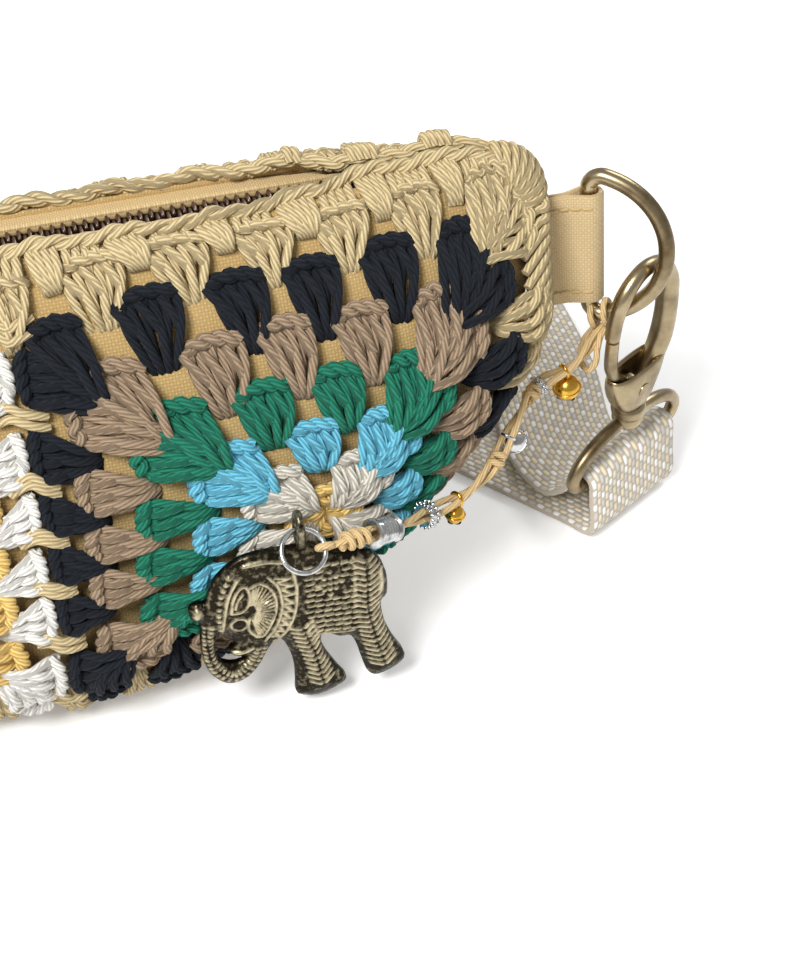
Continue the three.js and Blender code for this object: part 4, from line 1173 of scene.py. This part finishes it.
cord_up = np.cross(cord_side, cord_t)


def at_run(d, run, values):
    """The values of a line's points, read at length d along it."""
    return np.array([np.interp(d, run, column) for column in values.T])


def on_cord(share):
    """Point, direction, hanging direction and sideways direction at a share of the cord's length."""
    p = at_run(share * cord_run[-1], cord_run, cord_line)
    d = unit(at_run(share * cord_run[-1], cord_run, cord_t))
    down = np.array([0, 0, -1.0])
    down = unit(down - d * (down @ d))
    return p, d, down, np.cross(d, down)


def waxed_piece(name, part, body=None):
    """A piece of the cord, marked along and around so that its plies follow it."""
    piece = make_mesh(name, *part, waxed)
    n = np.arange(len(piece.data.vertices))
    for mark, values in (("along", n // CORD_SIDES * 0.7 * MM), ("around", n % CORD_SIDES / CORD_SIDES)):
        made = piece.data.attributes.new(mark, "FLOAT", "POINT")
        made.data.foreach_set("value", values.astype(np.float32))
    return dress(piece, body, None)


cord_pieces, strand_paths = [], []
for number, start_at in enumerate((0.4, 0.4 + math.pi), 1):
    spin = start_at + cord_run * 2 * math.pi / CORD_TWIST
    near = np.minimum(1, np.minimum(cord_run / 6, (cord_run[-1] - cord_run) / 5))
    line = cord_line + (1.15 * near)[:, None] * circle(spin, cord_side, cord_up)
    strand = waxed_piece(f"waxed_strand_{number}", tube(line, CORD_R, CORD_SIDES))
    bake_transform(strand)
    cord_pieces.append(strand)
    strand_paths.append(line)
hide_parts("charm_cord")

# The hitch: two turns round the ring's rod and the bight that holds them in front
round_rod = HITCH_R * circle(angles(24), hitch_down, hitch_side)
turns = [tube(hitch_at + hitch_t * k + round_rod, CORD_R, CORD_SIDES, True) for k in (-2.3, 0.9)]
lower = hitch_at + hitch_down * (HITCH_R + 0.6)
bight = [lower + hitch_t * along + hitch_down * below + hitch_side * aside for along, below, aside in (
    (-2.4, 0.0, 2.2), (-5.4, 2.4, -2.4), (-6.4, 6.4, -4.4), (-4.8, 8.8, -5.4), (-2.6, 7.0, -5.2),
    (-1.7, 3.6, -4.2), (-0.5, 0.6, -2.4), (0.9, 0.0, 1.6))]
waxed_piece("cord_hitch", merged(turns + [tube(smooth_line(bight, 5), CORD_R, CORD_SIDES)]), "ring_right")
knots = []
for share, wide, size, laps in ((0.262, 1.35, 4.4, 2.2), (0.452, 1.5, 4.4, 2.2), (0.945, 1.75, 7.0, 3.2)):
    p, d, down, other = on_cord(share)
    u = np.linspace(0, 1, 44)
    grow = (wide * (0.7 + 0.3 * np.sin(math.pi * u)))[:, None]
    line = p + d * ((u - 0.5) * size)[:, None] + grow * circle(u * 2 * math.pi * laps, down, other)
    knots.append(waxed_piece(f"cord_knot_{len(knots) + 1}", tube(line, CORD_R, CORD_SIDES), "bag"))
end_loop = end_at + LOOP_R * circle(angles(24), EX, JUMP_N)
loop_piece = waxed_piece("cord_end_loop", tube(end_loop, CORD_R, CORD_SIDES, True), "bag")


# Bells, beads and jump ring
# Stamped jingle bells with a wire eye and a crossed slit, two silver beads with rows of grains, a
# grooved silver tube and a silver wire jump ring, all threaded on the cord.
gold = metal("gold_plate", "e0b04a", "a9761f", rough=0.2, spots=300.0, cover=0.4)
silver = metal("tumbled_silver", "d2d2d0", "6c6c70", rough=0.16, spots=420.0, cover=0.42)
# Near-black metal for the bells' slits: a painted shadow standing for the unlit inside seen through them.
shadow = metal("bell_slit_painted_shadow", "2a2115", "15110b", rough=0.6)


def ball(at, r, axis, rows, gap, steps):
    """A turned ball, closed by a small flat at each pole."""
    return turned([(r * math.sin(q), -r * math.cos(q)) for q in np.linspace(gap, math.pi - gap, rows)],
                  at, axis, steps)


def bell(name, share, r, finish):
    """A bell hung from the cord by its eye, its slit across the lower half drawn as raised strands in painted
    shadow.
    """
    p, d, down, other = on_cord(share)
    eye_r = CORD_R + 0.9
    middle = p + down * (eye_r + 0.5 + r)
    a = angles(16)
    belt = tube(middle + r * circle(a, d, other), 0.28, 8, True)
    hanger = tube(p + eye_r * circle(a, down, other), 0.42, 8, True)
    bright = merged([ball(middle, r, -down, rows=22, gap=0.03, steps=28), belt, hanger])
    q = np.linspace(-1.1, 1.1, 15)
    # The slit: strands on the surface in the painted shadow material, not an opening.
    dark = merged([tube(middle + r * 0.99 * circle(q, down, w), 0.34 * np.cos(q * 1.2) + 0.16, 6)
                   for w in (d, other)])
    piece = build(name + "_stamped", merged([bright, dark]), finish, "bag", [name])
    piece.data.materials.append(shadow)
    piece.data.polygons.foreach_set("material_index", [0] * len(bright[1]) + [1] * len(dark[1]))
    return piece


threaded = [bell("bell_gold_large", 0.16, 3.3, gold),
            bell("bell_silver", 0.39, 2.9, silver),
            bell("bell_gold_small", 0.6, 2.3, gold)]
GROOVED = [(1.7, 3.7), (3.0, 3.75), (3.45, 3.5), (3.5, 3.0), (3.0, 2.5), (3.1, 2.0), (2.85, 1.7),
           (3.1, 1.3), (2.85, 0.9), (3.1, 0.4)]
# Each bead's place on the cord, half its profile and its middle's radius; then its grains' reach,
# rows, count and size
for name, share, half, waist, far, rows_at, count, size in (
        ("bead_spacer", 0.235, [(1.7, 0.9), (2.1, 1.0)], 2.3, 2.25, (0.0,), 12, 0.5),
        ("bead_dotted", 0.7, [(1.8, 1.2), (2.6, 1.4), (3.0, 0.7)], 3.1, 3.0, (-0.8, 0.8), 15, 0.55),
        ("bead_tube", 0.86, GROOVED, 2.85, 0, (), 0, 0)):
    p, d, down, other = on_cord(share)
    parts = [turned([(r, -h) for r, h in half] + [(waist, 0.0)] + half[::-1], p, d, 32)]
    parts += [ball(at, size, (0, 0, 1), rows=9, gap=0.05, steps=8)
              for h in rows_at for at in p + d * h + far * circle(angles(count), down, other)]
    threaded.append(build(name + "_cast", merged(parts), silver, "bag", [name]))
jump_line = jump_at + JUMP_R * circle(angles(40), EX, JUMP_UP)
build("jump_ring_wire", tube(jump_line, 0.6, 10, True), silver, "bag", ["charm_jump_ring"])


# Elephant charm
# A cast bronze elephant in low relief on both faces, blackened and rubbed bright on its raised
# ornament: banded brow, fan ear, toothed collar, dashed saddle cloth and feathered legs.
OUTLINE = [(53, 51.2), (50.3, 51.3), (46.6, 51.4), (43, 51.2), (39.8, 50.2), (36.7, 47.6), (34.3, 44.5),
           (33, 40.7), (32.2, 39.1), (30.8, 39.4), (29.1, 38.6), (28.7, 36.8), (29.4, 34.6), (31, 33.5),
           (30.7, 25.6), (31.5, 18.6), (34, 13.6), (37.2, 11.4), (41.1, 12.6), (44.1, 16.5), (46.2, 21),
           (49.1, 23.1), (51.1, 18.2), (52.1, 12.4), (52.2, 7.4), (52.5, 3.1), (57.5, 1.3), (63, 3.4),
           (64.3, 5.6), (62.6, 9), (59.9, 14.8), (58.6, 19), (58.8, 21.8), (60.7, 21.4), (63.1, 19.8),
           (65.6, 19.3), (67.1, 15.4), (68.3, 9.9), (69.7, 5.6), (72.1, 3.9), (76.8, 5.8), (78.6, 9.2),
           (75.6, 16), (73.6, 22.4), (72.9, 28.6), (74.3, 30.9), (74.3, 36.7), (73.1, 41.3), (71, 44.7),
           (67.6, 46.4), (62, 47.2), (57.5, 51)]
TRUNK_HOLE = [(34.9, 29.1), (33.7, 25.4), (34.4, 20.5), (36.9, 18.2), (39.9, 18.1), (40.9, 19.5),
              (38.1, 20.7), (37.1, 22.9), (38.6, 24.5), (36.5, 28.3)]
EAR = [(42.6, 43.2), (44.8, 44.0), (47.2, 41.4), (48.2, 37.5), (47.9, 33.6), (46.7, 30.3), (45.1, 27.3),
       (43.2, 27.2)]
EAR_ROOT = np.array([42.0, 35.6])
EYE, EYE_R = np.array([39.5, 32.3]), 1.9
SADDLE = (60.6, 39.5)
COLLAR_IN = smooth_line([(46.7, 45.3), (48.8, 41.6), (49.5, 36.6), (48.9, 32.2), (47.4, 28.3),
                         (45.3, 25.2)], 6)
COLLAR_OUT = smooth_line([(52.3, 45.6), (53.0, 40.4), (52.7, 34.6), (51.6, 30.0), (49.7, 26.2),
                          (47.0, 23.0)], 6)
rim = smooth_loop(OUTLINE, 3)
hole = smooth_loop(TRUNK_HOLE, 2)
strokes = []


def stroke(points, half):
    """A raised line of that half width along the points."""
    p = np.asarray(points, float)
    strokes.extend((*one, *two, half) for one, two in zip(p[:-1], p[1:]))


def dot(q, half):
    """A raised dot."""
    stroke([q, q + 0.05], half)


def crossed(points, step, reach, lift, half):
    """Short strokes either side of a line: square to it, or swept forward by lift."""
    p = smooth_line(points, 8)
    run = run_of(p)
    for at in np.arange(step / 2, run[-1], step):
        q = at_run(at, run, p)
        t = unit(at_run(at + 0.5, run, p) - at_run(at - 0.5, run, p))
        side = np.array([-t[1], t[0]])
        for sign in (-1, 1):
            stroke([q + sign * side * 0.6, q + sign * side * reach - t * lift], half)


# Brow band, brow leaf and its vein, ear and its lower edge, belly, trunk tip and crown; then the
# collar's edges, the knob at the trunk's root and the tail
ear = smooth_line(EAR, 3)
for points, steps, half in (
        ([(39.8, 46.1), (37.6, 41.4), (36.2, 34.5), (35.7, 29.6)], 4, 0.45),
        ([(37.9, 36.2), (38.4, 39.7), (39.8, 43.0), (41.4, 43.8), (42.3, 40.9), (41.8, 37.9), (40.2, 36.2),
          (37.9, 36.2)], 4, 0.42),
        ([(38.9, 37.5), (39.5, 39.7), (40.7, 41.6)], 3, 0.4), (EAR, 3, 0.42),
        ([(43.2, 27.2), (41.6, 30.0), (41.9, 33.7)], 3, 0.4),
        ([(56.0, 23.6), (60.7, 22.8), (66.0, 22.6)], 4, 0.4),
        ([(37.9, 22.2), (40.2, 22.4), (42.2, 23.6)], 3, 0.6),
        ([(41.6, 49.4), (46.2, 49.6), (50.4, 48.6)], 3, 0.45)):
    stroke(smooth_line(points, steps), half)
for points, half in ((COLLAR_IN, 0.4), (COLLAR_OUT, 0.45), ([(30.2, 36.3), (30.5, 37.6)], 0.9),
                     ([(72.6, 33.5), (72.9, 36.5), (72.4, 40)], 0.6)):
    stroke(points, half)
for q in smooth_line([(38, 46.6), (35.9, 41.6), (35.1, 36), (35.3, 31)], 3):
    dot(q, 0.62)
for q in np.linspace(0, 2 * math.pi, 17):
    stroke(EYE + EYE_R * circle(np.array([q, q + 0.4]), [1, 0], [0, 1]), 0.4)
for q in ear[1:-1]:
    stroke([EAR_ROOT + (q - EAR_ROOT) * 0.28, EAR_ROOT + (q - EAR_ROOT) * 0.9], 0.3)
for i in range(1, len(COLLAR_IN) - 3, 3):
    stroke([COLLAR_IN[i + k] * (1 - out) + COLLAR_OUT[i + k] * out
            for k, out in enumerate((0.25, 0.78, 0.25))], 0.5)
for row, z in enumerate(np.arange(24.2, 45.5, 1.75)):
    for x in np.arange(55.2, 66.4, 2.1):
        if math.hypot((x - SADDLE[0]) / 3.4, (z - SADDLE[1]) / 4.4) > 1:
            on = x + 0.4 * (row % 2)
            stroke([(on, z - 0.12 * (x - 60)), (on + 1.2, z - 0.12 * (x - 61))], 0.48)
for i in range(-2, 3):
    for j in range(abs(i) - 2, 3 - abs(i)):
        dot(np.array([60.7 + 1.35 * i, SADDLE[1] + 1.75 * j]), 0.6)
crossed([(69.4, 44.5), (69.4, 34.5), (69.7, 27.1), (71.1, 19.4), (73.4, 8.5)],
        step=1.75, reach=2.9, lift=1.5, half=0.5)
crossed([(53.8, 27.6), (55.5, 21.6), (57.2, 14.9), (58.6, 5.5)], step=1.7, reach=2.6, lift=1.5, half=0.5)
crossed([(32.3, 33), (32.0, 28.3), (32.6, 21.5), (34.4, 17.0), (37.4, 14.6), (40.6, 15.6), (43.0, 19.0),
         (44.8, 23.5)], step=1.35, reach=1.3, lift=0.0, half=0.42)
lines = np.array(strokes)


def reach_to(points, one, two, half=1.0):
    """Each point's distance to the nearest of the segments, in half widths."""
    span = two - one
    nearest = []
    for part in np.array_split(points, 40):
        t = np.clip(((part[:, None] - one) * span).sum(-1) / ((span ** 2).sum(-1) + 1e-12), 0, 1)
        nearest.append((np.linalg.norm(part[:, None] - one - t[..., None] * span, axis=-1) / half).min(1))
    return np.concatenate(nearest)


def within(points):
    """Whether points lie on the elephant: inside its outline and outside its trunk's hole."""
    odd = []
    x, y = points[:, :1], points[:, 1:]
    for one in (rim, hole):
        two = np.roll(one, -1, 0)
        cross = (one[:, 1] > y) != (two[:, 1] > y)
        at = one[:, 0] + (y - one[:, 1]) / (two[:, 1] - one[:, 1] + 1e-12) * (two[:, 0] - one[:, 0])
        odd.append((cross & (x < at)).sum(1) % 2 == 1)
    return odd[0] & ~odd[1]


# A net of small triangles within the outline, lifted to the relief's height on both faces
GRID = 0.3
gx, gz = np.meshgrid(np.arange(28, 79.5, GRID), np.arange(0.5, 52.5, GRID))
gx[1::2] += GRID / 2
cloud = np.stack([gx.ravel(), gz.ravel()], -1)
cloud = cloud[within(cloud)]
edges_one = np.concatenate([rim, hole])
edges_two = np.concatenate([np.roll(rim, -1, 0), np.roll(hole, -1, 0)])
cloud = cloud[reach_to(cloud, edges_one, edges_two) > 0.2]
flat = np.concatenate([edges_one, cloud])
bounds_at = [(i, (i + 1) % len(rim)) for i in range(len(rim))]
bounds_at += [(len(rim) + i, len(rim) + (i + 1) % len(hole)) for i in range(len(hole))]
net = delaunay_2d_cdt([Vector(p) for p in flat.tolist()], bounds_at, [], 1, 1e-5)
flat = np.array([tuple(v) for v in net[0]])
tris = np.array([tuple(f) for f in net[2] if len(f) == 3])
tris = tris[within(flat[tris].mean(1))]
one, two = flat[tris[:, 1]] - flat[tris[:, 0]], flat[tris[:, 2]] - flat[tris[:, 0]]
tris = np.where((one[:, 0] * two[:, 1] - one[:, 1] * two[:, 0] < 0)[:, None], tris[:, ::-1], tris)
from_edge = reach_to(flat, edges_one, edges_two)
raised = np.clip(1.25 - reach_to(flat, lines[:, :2], lines[:, 2:4], lines[:, 4]), 0, 1)
raised = raised ** 0.8 * np.clip(from_edge / 0.5, 0, 1)
eye_hollow = np.exp(-((flat - EYE) ** 2).sum(1) / 1.4)
height = 0.7 + 1.7 * (1 - np.exp(-from_edge / 2.0)) + 0.55 * raised + 0.5 * eye_hollow
verts = np.concatenate([np.stack([flat[:, 0] - 0.4, CHARM_TOP[1] + sign * height, flat[:, 1] + 1.2], -1)
                        for sign in (-1, 1)])
count = len(flat)
faces = [tuple(t) for t in tris] + [tuple(t[::-1] + count) for t in tris]
sides = {pair: True for a, b, c in tris for pair in ((a, b), (b, c), (c, a))}
faces += [(two, one, one + count, two + count) for one, two in sides if (two, one) not in sides]
bronze = metal("blackened_bronze", "d0c3a1", "29241b", rough=0.3)
bt = bronze.node_tree
worn = add_node(bt, "ShaderNodeAttribute", attribute_name="relief")
spot = add_node(bt, "ShaderNodeTexCoord").outputs["Object"]
speck = add_node(bt, "ShaderNodeTexNoise", {"Vector": spot, "Scale": 620.0, "Detail": 5.0, "Roughness": 0.65})
rubbed = maths(bt, "MULTIPLY_ADD", speck, 2.2, worn.outputs["Fac"])
share = add_node(bt, "ShaderNodeMapRange", {0: rubbed, 1: 1.12, 2: 2.2})
set_inputs(next(n for n in bt.nodes if n.type == "MIX"), {0: share})
eye_ring = tube(CHARM_TOP + circle(angles(24), [0, 0, 4.2], [0, 2.6, 0]), 0.95, 10, True)
piece = build("elephant_cast", merged([(verts, faces), eye_ring]), bronze, "elephant", ["elephant_charm"],
              crease=70)
shine = np.concatenate([raised - eye_hollow, raised - eye_hollow, np.full(len(eye_ring[0]), 0.3)])
piece.data.attributes.new("relief", "FLOAT", "POINT").data.foreach_set("value", shine.astype(np.float32))
